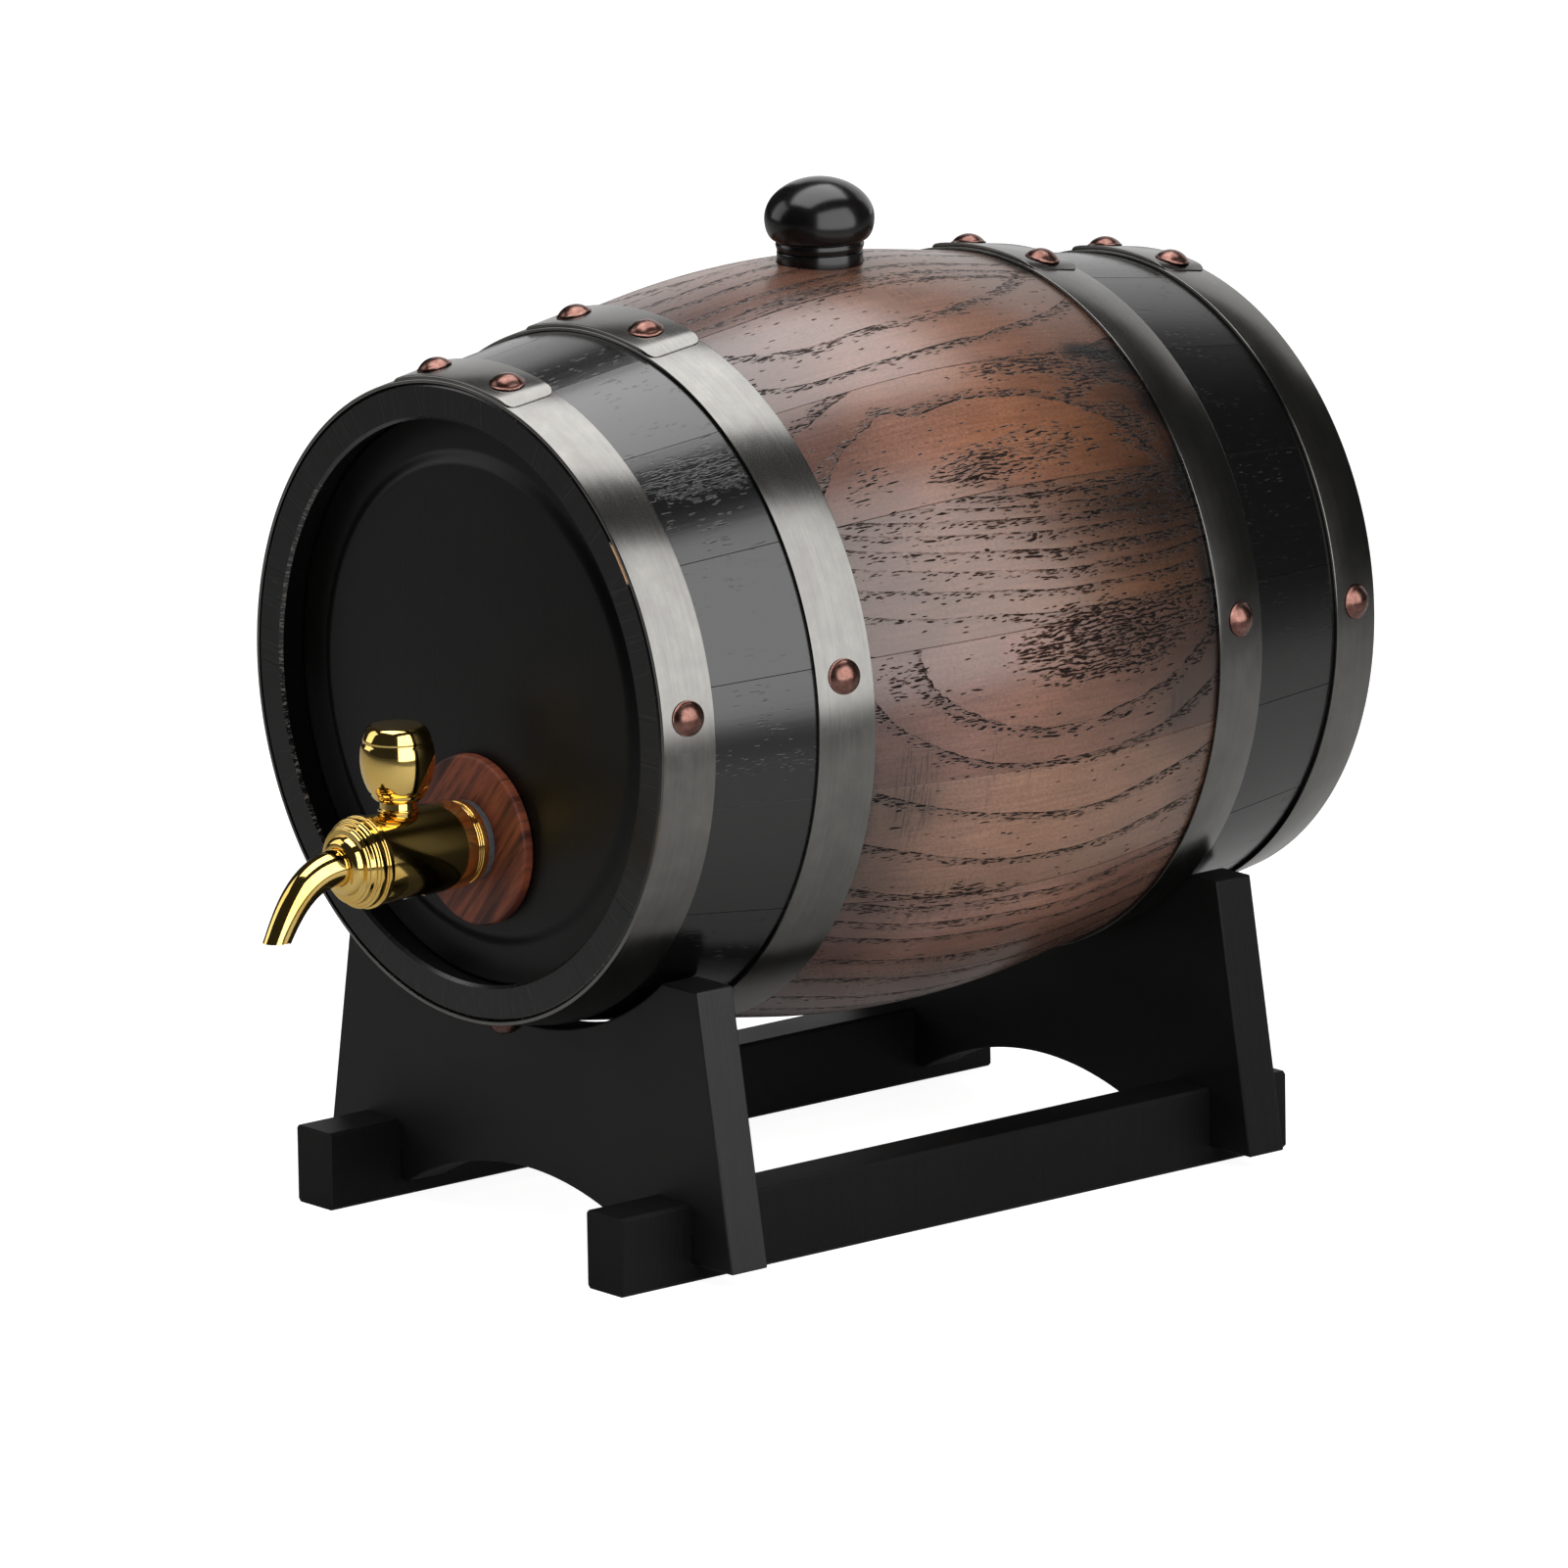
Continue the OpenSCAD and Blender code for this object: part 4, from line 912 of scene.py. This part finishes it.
def buildTap(gilt, rubber):
    shank = tap["shank"] / 2
    hole = shank + 0.02
    fromU, toU = uRange("tap_gasket")
    addPiece("gasketOuter", *ringShape(tap["gasket"] / 2, hole, fromU, toU, 0.35, tapPlace), rubber,
             "cask", "seal_rubber", ["tap_gasket"])
    fromU, bodyBack = uRange("tap_flange")
    outer, step = tap["flange"] / 2, (bodyBack - fromU) * 0.2
    outline = [(hole, fromU), (outer, fromU), (outer, bodyBack - 2 * step), (outer - step, bodyBack - 2 * step),
               (outer - step, bodyBack - step), (outer, bodyBack - step), (outer, bodyBack), (hole, bodyBack)]
    addTapPart("tapFlangeGilt", outline, 0.25, gilt, "tap_flange", 128)

    backU, frontU = uRange("tap_body")
    big, chamfer = tap["body"] / 2, (tap["body"] - tap["flange"]) / 2
    flow, root = tap["flow"] / 2, shank - tap["threadDeep"]
    outline = [(flow, backU), (shank, backU)]
    at = backU + 1
    while at < bodyBack - tap["threadEnd"]:
        outline += [(shank, at), (root, at + 0.3), (root, at + 0.8), (shank, at + 1.1)]
        at += tap["thread"]
    outline += [(shank, bodyBack), (outer, bodyBack), (big, bodyBack + chamfer), (big, frontU), (flow, frontU)]
    body = addTapPart("tapBodyGilt", outline, 0.3, gilt, "tap_body")
    drill(body, tap["keySeat"] / 2, -30, 30, keyPlace)
    drill(body, tap["washerRecess"], -30, 2.6 - tap["body"] / 2, keyPlace)
    dressPiece(body, gilt, 35)

    fromU, toU = uRange("tap_collar")
    step = (toU - fromU) / 4
    gap = step * 0.28
    wide, root = tap["collar"] / 2, tap["spoutRoot"] / 2
    fall = (wide - root) * 0.6
    nose = wide - fall - step
    outline = [(root + 0.02, fromU)]
    for i in range(3):
        r, end = wide - fall * (i / 3) ** 2, fromU + (i + 1) * step
        outline += [(r, fromU + i * step), (r, end - gap), (r - gap, end - gap), (r - gap, end)]
    for i in range(6):
        a = math.radians(i * 15)
        outline.append((nose + step * math.cos(a), toU - step + step * math.sin(a)))
    addTapPart("tapCollarGilt", outline + [(nose, toU), (root + 0.02, toU)], 0.28, gilt, "tap_collar")


def buildSpout(gilt):
    fromU, frontU = uRange("tap_spout")
    rootU = uRange("tap_collar")[1]
    slant = math.radians(tap["spoutSlant"])
    tip, root, count = tap["spoutTip"] / 2, tap["spoutRoot"] / 2, tap["bendRows"]
    start = Vector((rootU, 0))
    end = Vector((frontU - tip / math.cos(slant), -tap["spoutDrop"]))
    pull = (frontU - rootU) * 0.42
    after, before = start + Vector((pull, 0)), end - pull * Vector((math.sin(slant), -math.cos(slant)))

    def ringAt(point, way, radius, level):
        ring = []
        for i in range(48):
            a = math.tau * i / 48
            side, out = radius * math.sin(a), radius * math.cos(a)
            forward, up = (out / math.cos(slant), 0) if level else (out * math.sin(way), out * math.cos(way))
            ring.append(Vector((side, cask["middle"] - point[0] - forward, tap["axis"] + point[1] + up)) * mm)
        return ring

    walls = []
    for less in (0.0, tap["spoutWall"]):
        rings = [ringAt((fromU, 0), 0.0, root - less, False)]
        for i in range(count):
            t = i / count
            keep = 1 - t
            point = start * keep ** 3 + after * (3 * keep ** 2 * t) + before * (3 * keep * t * t) + end * t ** 3
            way = (after - start) * keep ** 2 + (before - after) * (2 * keep * t) + (end - before) * (t * t)
            rings.append(ringAt(point, math.atan2(-way[1], way[0]), root + (tip - root) * t - less, False))
        rings.append(ringAt(end, 0.0, tip - less, True))
        walls.append(rings)
    outside, inside = walls
    addPiece("tapSpoutGilt", *swept(outside + inside[::-1], True), gilt, "cask", "tap_gilt", ["tap_spout"], 40)


def stainedRosette():
    # Ash disc, stained red-brown and waxed.
    # The eye sees a warm satin face with slanting darker streaks and short open pores.
    look = {"slant": -41, "streak": (2.8, 50, 40), "pore": (0.5, 4, 6), "relief": -0.06}  # sizes in mm
    made, tree, place = newMaterial("ashStainedRedBrownWaxed")
    turn = addNode(tree, "VectorRotate Y_AXIS", {"Vector": place, "Angle": math.radians(look["slant"])})
    marks = []
    for name, detail in (("streak", 3.0), ("pore", 2.0)):
        place = addNode(tree, "Mapping", {"Vector": turn, "Scale": perMetre(*look[name])})
        marks.append(addNode(tree, "TexNoise", {"Vector": place, "Scale": 1.0, "Detail": detail}))
    streak, pore = marks
    colour = addNode(tree, "ValToRGB", [streak], "Color",
                     [(0.3, "#33170f"), (0.44, "#603022"), (0.56, "#84462f"), (0.7, "#42200f")])
    pore = addNode(tree, "MapRange", [pore, 0.6, 0.72, 0.0, 0.7])
    colour = addNode(tree, "Mix RGBA", {0: pore, 6: colour, 7: "#3a2119"}, 2)
    bump = addNode(tree, "Bump", {"Height": pore, "Distance": look["relief"] * mm, "Strength": 1.0})
    return finishMaterial(made, colour, 0.5, bump, gloss=0.3)


keyLow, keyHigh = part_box("key_knob")
plugLow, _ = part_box("key_plug")
key = {
    "y": (keyLow.y + keyHigh.y) / 2 / mm,
    "foot": keyLow.z / mm,
    "top": keyHigh.z / mm,
    "plug": 9.3,
    "footRing": 10.4,
    "wide": 18.8,
    "flat": 13.0,
    "grooves": (0.12, 0.78),  # places of the two turned lines, as shares of the knob's height
    "grooveDeep": 0.3,
    "rows": 28,
    "plugFoot": plugLow.z / mm,
    "screwHole": 1.52,        # radius
    "ringSeat": 3.15,         # radius left under each O-ring
}
# keyPlace has its z upright on the key's axis, with heights counted from the tap's axis
keyPlace = axisPlace((0, key["y"], tap["axis"]), (0, 0, 1))


def buildKey(gilt):
    foot, top = key["foot"] - tap["axis"], key["top"] - tap["axis"]
    tall = top - foot
    low, flat, count = key["footRing"] / 2, key["flat"] / 2, key["rows"]
    belly = key["wide"] / 2 - (low + flat) / 2
    profile = [(0, foot), (low, foot)]
    for i in range(1, count):
        t = i / count
        swell = (1 - t) * low + t * flat + belly * math.sin(math.pi * t) ** 0.62
        for groove in key["grooves"]:
            if abs(t - groove) * tall < 0.32:
                swell -= key["grooveDeep"]
        profile.append((swell, foot + t * tall))
    profile += [(flat, top), (0, top)]
    shape = turned(eased(profile, 0.4), keyPlace, 128)
    addPiece("keyKnobGilt", *shape, gilt, "key", "tap_gilt", ["key_knob"], 40)

    plug, base = key["plug"] / 2, key["plugFoot"] - tap["axis"]
    collar, peg, pegTop = tap["body"] / 2 + 0.1, plug * 0.6, foot + tall / 2
    profile = [(0, base), (plug, base), (plug, collar), (low, collar), (low, collar + 0.65),
               (plug, collar + 0.65), (plug, foot), (peg, foot), (peg, pegTop), (0, pegTop)]
    shape = turned(eased(profile, 0.2), keyPlace)
    piece = addPiece("keyPlugGilt", *shape, gilt, "key", "tap_gilt", ["key_plug"])
    flow = tap["flow"] / 2
    drill(piece, flow, -8, 8, axisPlace((0, key["y"], tap["axis"]), (1, 0, 0)), 48)
    drill(piece, key["screwHole"], base - 1, base + 5, keyPlace, 32)
    for z in (flow + 2.7, -flow - 1.8):
        cutAway(piece, ringShape(6.0, key["ringSeat"], z - 0.77, z + 0.77, 0.0, keyPlace, 64))
    dressPiece(piece, gilt, 35)


bung = {
    "foot": 21.8,
    "footHigh": 2.6,
    "ring": 0.35,        # depth of the turned line above the foot, and of the bead over it
    "wide": 27.8,
    "middle": 10.8,
    "high": 21.1,
    "seat": 0.75,
    "dowel": 8.0,
    "dowelLong": 9.0,
    "cork": 16.9,
    "corkLong": 15.0,
}
bungPlace = axisPlace((0, cask["bungAt"], cask["axis"] + cask["belly"]), (0, 0, 1))


def buildBung(lacquer, cork):
    foot, wide, middle = bung["foot"] / 2, bung["wide"] / 2, bung["middle"]
    ring, cap = bung["ring"], middle / 2
    base, seat, dowel = bung["footHigh"], -bung["seat"], bung["dowel"] / 2
    neck = base + ring
    end = seat - bung["dowelLong"]
    profile = [(0, end), (dowel, end), (dowel, seat), (foot, seat), (foot, base),
               (foot - 2 * ring, base + ring / 2), (foot, neck), (foot + ring, (neck + cap) / 2),
               (foot, cap - ring)]
    for i in range(15):
        a = math.radians(i * 6)
        swell = (wide - foot - ring) * math.sin(a)
        profile.append((foot + ring + swell, middle - (middle - cap) * math.cos(a)))
    for i in range(30):
        a = math.radians(i * 3)
        profile.append((wide * math.cos(a), middle + (bung["high"] - middle) * math.sin(a)))
    shape = turned(eased(profile + [(0, bung["high"])], 0.3), bungPlace, 128)
    addPiece("bungKnobLacquered", *shape, lacquer, "bung", "bung_lacquer", ["bung_knob"], 50)
    hole, side, foot = dowel + 0.02, bung["cork"] / 2, seat - bung["corkLong"]
    outside = eased([(hole, seat), (side, seat), (side, foot + 1), (side - 1, foot)], 0.3)
    shape = turned(outside + [(0, foot), (0, end), (hole, end)], bungPlace, 96, True)
    addPiece("bungStopperCork", *shape, cork, "bung", "bung_cork", ["bung_stopper"], 35)


def glossLacquer():
    # Turned beech under several coats of black lacquer.
    # The eye sees deep black with softened lamp reflections, faint turning rings and some orange peel.
    look = {"peel": 2.0, "relief": 0.006, "lathe": (16.67, 16.67, 1.11)}  # sizes in mm
    made, tree, place = newMaterial("beechLacqueredBlackGloss")
    peel = addNode(tree, "TexNoise", {"Vector": place, "Scale": perMetre(look["peel"]), "Detail": 2.0})
    colour = addNode(tree, "ValToRGB", [peel], "Color", [(0.3, "#080707"), (0.7, "#0d0b0b")])
    bump = addNode(tree, "Bump", {"Height": peel, "Distance": look["relief"] * mm, "Strength": 1.0})
    lathe = addNode(tree, "Mapping", {"Vector": place, "Scale": perMetre(*look["lathe"])})
    lathe = addNode(tree, "TexNoise", {"Vector": lathe, "Scale": 1.0, "Detail": 2.0})
    rough = addNode(tree, "Math MULTIPLY_ADD", [lathe, 0.1, 0.16])
    return finishMaterial(made, colour, rough, bump, gloss=0.42)


def naturalCork():
    # Agglomerated cork, ground. The eye sees warm tan crumbs with dark gaps between them; that dark in the
    # sunken gaps is painted shade.
    look = {"crumb": 1.11, "relief": 0.15}  # sizes in mm
    made, tree, place = newMaterial("corkGround")
    crumbs = {"Vector": place, "Scale": perMetre(look["crumb"])}
    shade = addNode(tree, "SeparateXYZ", [addNode(tree, "TexVoronoi", crumbs, "Color")], "X")
    gaps = addNode(tree, "TexVoronoi", crumbs, "Distance", feature="DISTANCE_TO_EDGE")
    colour = addNode(tree, "ValToRGB", [shade], "Color",
                     [(0.0, "#9a7346"), (0.4, "#b88f5e"), (0.8, "#cda878"), (1.0, "#7c5836")])
    # painted shade in the sunken gaps between the crumbs
    gapShade = addNode(tree, "MapRange", [gaps, 0.0, 0.09, 0.7, 0.0])
    colour = addNode(tree, "Mix RGBA", {0: gapShade, 6: colour, 7: "#5a3d24"}, 2)
    bump = addNode(tree, "Bump", {"Height": gaps, "Distance": look["relief"] * mm, "Strength": 1.0})
    return finishMaterial(made, colour, 0.8, bump)


stand = {
    "plateFoot": 80.8,
    "plateTop": 68.8,
    "below": 65.0,
    "lift": 4.7,
    "arch": 17.2,
    "archInset": 3.5,
    "railAt": 58.25,
    "railWide": 14.1,
    "railHigh": 20.1,
    "lap": 12.4,
    "bevel": 0.8,
    "edge": 0.45,
    "railEdge": 0.5,
    "clear": 0.3,        # between the cradle and the cask
    "cradleRows": 40,
    "archRows": 32,
}


def buildPlate(node, material):
    low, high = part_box(node)
    nearU = min(abs(cask["middle"] - low.y / mm), abs(cask["middle"] - high.y / mm))
    cradle, below = woodRadius(nearU) + stand["clear"], stand["below"]
    foot, top, lap = stand["plateFoot"], stand["plateTop"], stand["lap"]
    topZ, footZ = cask["axis"] - below, stand["lift"]
    half = math.asin(math.sqrt(cradle ** 2 - below ** 2) / cradle)
    outline = [(-foot, footZ), (-top, topZ)]
    for i in range(stand["cradleRows"] + 1):
        a = -half + 2 * half * i / stand["cradleRows"]
        outline.append((cradle * math.sin(a), cask["axis"] - cradle * math.cos(a)))
    outline += [(top, topZ), (foot, footZ)]
    inner, outer = [stand["railAt"] + way * (stand["railWide"] / 2 + 0.02) for way in (-1, 1)]
    outline += [(outer, footZ), (outer, lap), (inner, lap), (inner, footZ)]
    sag = stand["arch"] - footZ
    reach = stand["railAt"] - stand["railWide"] / 2 - stand["archInset"]
    radius = (reach ** 2 + sag ** 2) / (2 * sag)
    span = math.asin(reach / radius)
    for i in range(stand["archRows"] + 1):
        a = span - 2 * span * i / stand["archRows"]
        outline.append((radius * math.sin(a), stand["arch"] - radius + radius * math.cos(a)))
    outline += [(-inner, footZ), (-inner, lap), (-outer, lap), (-outer, footZ)]
    sections = [[Vector((x * mm, y, z * mm)) for x, z in outline] for y in (low.y, high.y)]
    name = "boardFront" if low.y < 0 else "boardRear"
    piece = addPiece(name, *swept(sections, False), material, "stand", "stand_wood", [node], 30)
    softenEdges(piece, stand["edge"])


def softenEdges(piece, width):
    ease = piece.modifiers.new("ease", "BEVEL")
    ease.width = width * mm
    ease.segments = 2
    ease.limit_method = "ANGLE"
    ease.angle_limit = math.radians(35)
    ease.use_clamp_overlap = True
    ease.harden_normals = False


def buildRail(node, side, material):
    low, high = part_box(node)
    half, tall, lap, bevel = stand["railWide"] / 2, stand["railHigh"], stand["lap"], stand["bevel"]
    outline = [(low.y / mm, tall)]
    for plate in ("stand_front_plate", "stand_rear_plate"):
        near, far = [corner.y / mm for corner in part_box(plate)]
        outline += [(near, tall), (near, lap), (far, lap), (far, tall)]
    outline.append((high.y / mm, tall))
    sections = []
    for y, top in outline:
        cut = bevel if top == tall else 0.01  # the notches have square edges
        ring = [(-half + bevel, 0), (half - bevel, 0), (half, bevel), (half, top - cut), (half - cut, top),
                (-half + cut, top), (-half, top - cut), (-half, bevel)]
        sections.append([Vector((side * stand["railAt"] + x, y, z)) * mm for x, z in ring])
    name = "railRight" if side > 0 else "railLeft"
    piece = addPiece(name, *swept(sections, False), material, "stand", "stand_wood", [node], 30)
    softenEdges(piece, stand["railEdge"])


def blackBoard(name, sideFibresAndPaintedLight, gloss):
    # Pine board, sanded and painted matt black.
    # The eye sees dull charcoal faces with a fine tooth, and long raised fibres on the board's edges. The side
    # faces take a side colour over those fibres: on the front board it is lighter, partly a painted highlight;
    # on the shaded copy for the rear board and rails it is near black, painted shade, and the gloss is lower.
    look = {"fibre": (5, 0.625, 33.3), "tooth": 0.714, "cloud": 22.2, "relief": 0.08, "rough": 0.48}  # in mm
    made, tree, place = newMaterial(name)
    side = addNode(tree, "SeparateXYZ", [addNode(tree, "NewGeometry", take="True Normal")], "X")
    side = addNode(tree, "MapRange", [addNode(tree, "Math ABSOLUTE", [side]), 0.6, 0.9])
    fibres = addNode(tree, "Mapping", {"Vector": place, "Scale": perMetre(*look["fibre"])})
    fibres = addNode(tree, "TexNoise", {"Vector": fibres, "Scale": 1.0, "Detail": 3.0})
    tooth = addNode(tree, "TexNoise", {"Vector": place, "Scale": perMetre(look["tooth"]), "Detail": 2.0})
    cloud = addNode(tree, "TexNoise", {"Vector": place, "Scale": perMetre(look["cloud"]), "Detail": 3.0})
    colour = addNode(tree, "ValToRGB", [cloud], "Color", [(0.3, "#090909"), (0.7, "#0e0e0e")])
    # raised fibres on the side faces take the side colour, which is painted light too: a painted highlight on
    # the front board, painted shade on its shaded copy
    raised = addNode(tree, "Math MULTIPLY", [fibres, side])
    colour = addNode(tree, "Mix RGBA", {0: raised, 6: colour, 7: sideFibresAndPaintedLight}, 2)
    height = addNode(tree, "Math MULTIPLY_ADD", [tooth, 0.2, raised])
    bump = addNode(tree, "Bump", {"Height": height, "Distance": look["relief"] * mm, "Strength": 1.0})
    rough = addNode(tree, "Math MULTIPLY_ADD", [cloud, 0.15, look["rough"]])
    return finishMaterial(made, colour, rough, bump, gloss=gloss)


# Every piece, body by body.
ash = stainedAsh()
for number in range(1, len(staves["angles"]) + 1):
    buildStave(number, ash)
print("staves done")

steel, copper = brushedSteel(), cloudyFinish("copperPlatedAntiqued")
for hoop in hoopNames:
    buildHoop(hoop, steel)
    buildRivets(hoop.replace("hoop", "rivets"), copper)
print("hoops and rivets done")

headPaint = blackAsh()
buildHead("front_head", 1, headPaint)
buildHead("rear_head", -1, headPaint)
gilt, rubber, zinc = [
    cloudyFinish(name) for name in ("brassPlatedGoldPolished", "rubberMouldedGrey", "steelZincPlated")]
buildRosette(stainedRosette())
buildTap(gilt, rubber)
buildSpout(gilt)
buildKey(gilt)
buildBung(glossLacquer(), naturalCork())
print("heads, tap and bung done")

# the front board's lighter side faces are partly raised fibres and partly a painted highlight
buildPlate("stand_front_plate", blackBoard("pinePaintedBlackMatt", "#201f1f", 0.36))
# a shaded copy of the same paint, with near black sides and less gloss, as painted shade on the rear board and
# the rails
board = blackBoard("pinePaintedBlackMattShadedCopy", "#020202", 0.18)
buildPlate("stand_rear_plate", board)
buildRail("left_rail", -1, board)
buildRail("right_rail", 1, board)
# the CAD's own screws and seals are shown as they are
for node, finish in (("stand_screws", zinc), ("tap_inner_gasket", rubber), ("tap_lock_nut", zinc),
                     ("key_o_rings", rubber), ("key_washer", zinc), ("key_screw", zinc)):
    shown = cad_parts[node]
    shown.data.materials.clear()
    shown.data.materials.append(finish)
print("stand done")

studio = {
    "floor": 12.0,       # metres
    "air": 0.025,        # what surfaces see where there is no lamp
    "paperGlow": 0.9,    # what the camera sees of the paper besides its own light
    "paperShine": 0.05,  # and what mirrors see of it
    "paperTooth": 3.33,  # mm
    "lamps": [
        # name, place, facing point, width, height, brightness
        ("softboxRight", (0.55, 0.0, 0.48), (0.0, 0.0, 0.48), 0.97, 0.80, 2.5),
        ("softboxTop", (-0.17, 0.1, 1.0), (-0.17, 0.1, 0.0), 0.68, 1.1, 3.1),
        ("cardRear", (-1.1, 1.7, 0.75), (0.0, 0.0, 0.2), 2.2, 1.4, 0.68),
        ("cardLeft", (-1.3, -0.9, 0.8), (0.0, 0.0, 0.2), 0.9, 1.2, 1.2),
    ],
}


def floorPaper():
    # Seamless paper roll. The eye sees clean white with only the softest shadow.
    made, tree, place = newMaterial("paperSeamlessWhite")
    seen, mirrored = [addNode(tree, "LightPath", take=ray) for ray in ("Is Camera Ray", "Is Glossy Ray")]
    tooth = addNode(tree, "TexNoise", {"Vector": place, "Scale": perMetre(studio["paperTooth"]), "Detail": 2.0})
    colour = addNode(tree, "ValToRGB", [tooth], "Color", [(0.3, "#aaaaa9"), (0.7, "#b0b0af")])
    shine = addNode(tree, "Math MULTIPLY", [mirrored, studio["paperShine"]])
    glow = addNode(tree, "Math MULTIPLY_ADD", [seen, studio["paperGlow"], shine])
    glow = addNode(tree, "Emission", {"Color": "#ffffff", "Strength": glow})
    paper = addNode(tree, "BsdfDiffuse", {"Color": colour})
    addNode(tree, "OutputMaterial", {"Surface": addNode(tree, "AddShader", [paper, glow])})
    return made


def studioAir():
    # white for the camera, dim for everything else
    world = bpy.data.worlds.new("studioAir")
    world.use_nodes = True
    tree = world.node_tree
    tree.nodes.clear()
    seen = addNode(tree, "LightPath", take="Is Camera Ray")
    share = addNode(tree, "MapRange", {"Value": seen, "To Min": studio["air"], "To Max": 1.0})
    sky = addNode(tree, "Background", {"Color": "#ffffff", "Strength": share})
    addNode(tree, "OutputWorld", {"Surface": sky})
    return world


def buildStudio():
    reach, under = studio["floor"], -0.0001  # just under the rails
    corners = ((-1, -1), (1, -1), (1, 1), (-1, 1))
    mesh = bpy.data.meshes.new("paperFloor")
    mesh.from_pydata([(x * reach, y * reach, under) for x, y in corners], [], [(0, 1, 2, 3)])
    floor = bpy.data.objects.new("paperFloor", mesh)
    bpy.context.scene.collection.objects.link(floor)
    mesh.materials.append(floorPaper())
    for name, place, target, sizeX, sizeY, brightness in studio["lamps"]:
        lamp = bpy.data.lights.new(name, "AREA")
        lamp.shape = "RECTANGLE"
        lamp.size, lamp.size_y = sizeX, sizeY
        lamp.energy = brightness * sizeX * sizeY * 4  # so that brightness tells how white a lamp looks
        holder = bpy.data.objects.new(name, lamp)
        bpy.context.scene.collection.objects.link(holder)
        holder.location = place
        holder.rotation_mode = "QUATERNION"
        holder.rotation_quaternion = (Vector(target) - Vector(place)).to_track_quat("-Z", "Y")
        holder.visible_camera = False
    bpy.context.scene.world = studioAir()
    bpy.context.scene.view_settings.view_transform = "Standard"


camera = {
    "azimuth": 50.59,
    "elevation": 13.20,
    "roll": -0.96,
    "target": (-14.2, 31.0, 97.8),
    "distance": 4.185,   # metres
    "lens": 378.3,
    "sensor": 36.0,
}


def buildCamera():
    a, e, roll = (math.radians(camera[k]) for k in ("azimuth", "elevation", "roll"))
    back = Vector((math.sin(a) * math.cos(e), -math.cos(a) * math.cos(e), math.sin(e)))
    right = Vector((math.cos(a), math.sin(a), 0))
    up = back.cross(right)
    side = right * math.cos(roll) + up * math.sin(roll)
    top = up * math.cos(roll) - right * math.sin(roll)
    made = bpy.data.cameras.new("camera")
    made.lens, made.sensor_width = camera["lens"], camera["sensor"]
    made.clip_start, made.clip_end = 0.1, 60
    holder = bpy.data.objects.new("camera", made)
    bpy.context.scene.collection.objects.link(holder)
    place = Vector(camera["target"]) * mm + back * camera["distance"]
    holder.matrix_world = Matrix.Translation(place) @ Matrix((side, top, back)).transposed().to_4x4()
    bpy.context.scene.camera = holder


buildStudio()
buildCamera()
print("studio done")
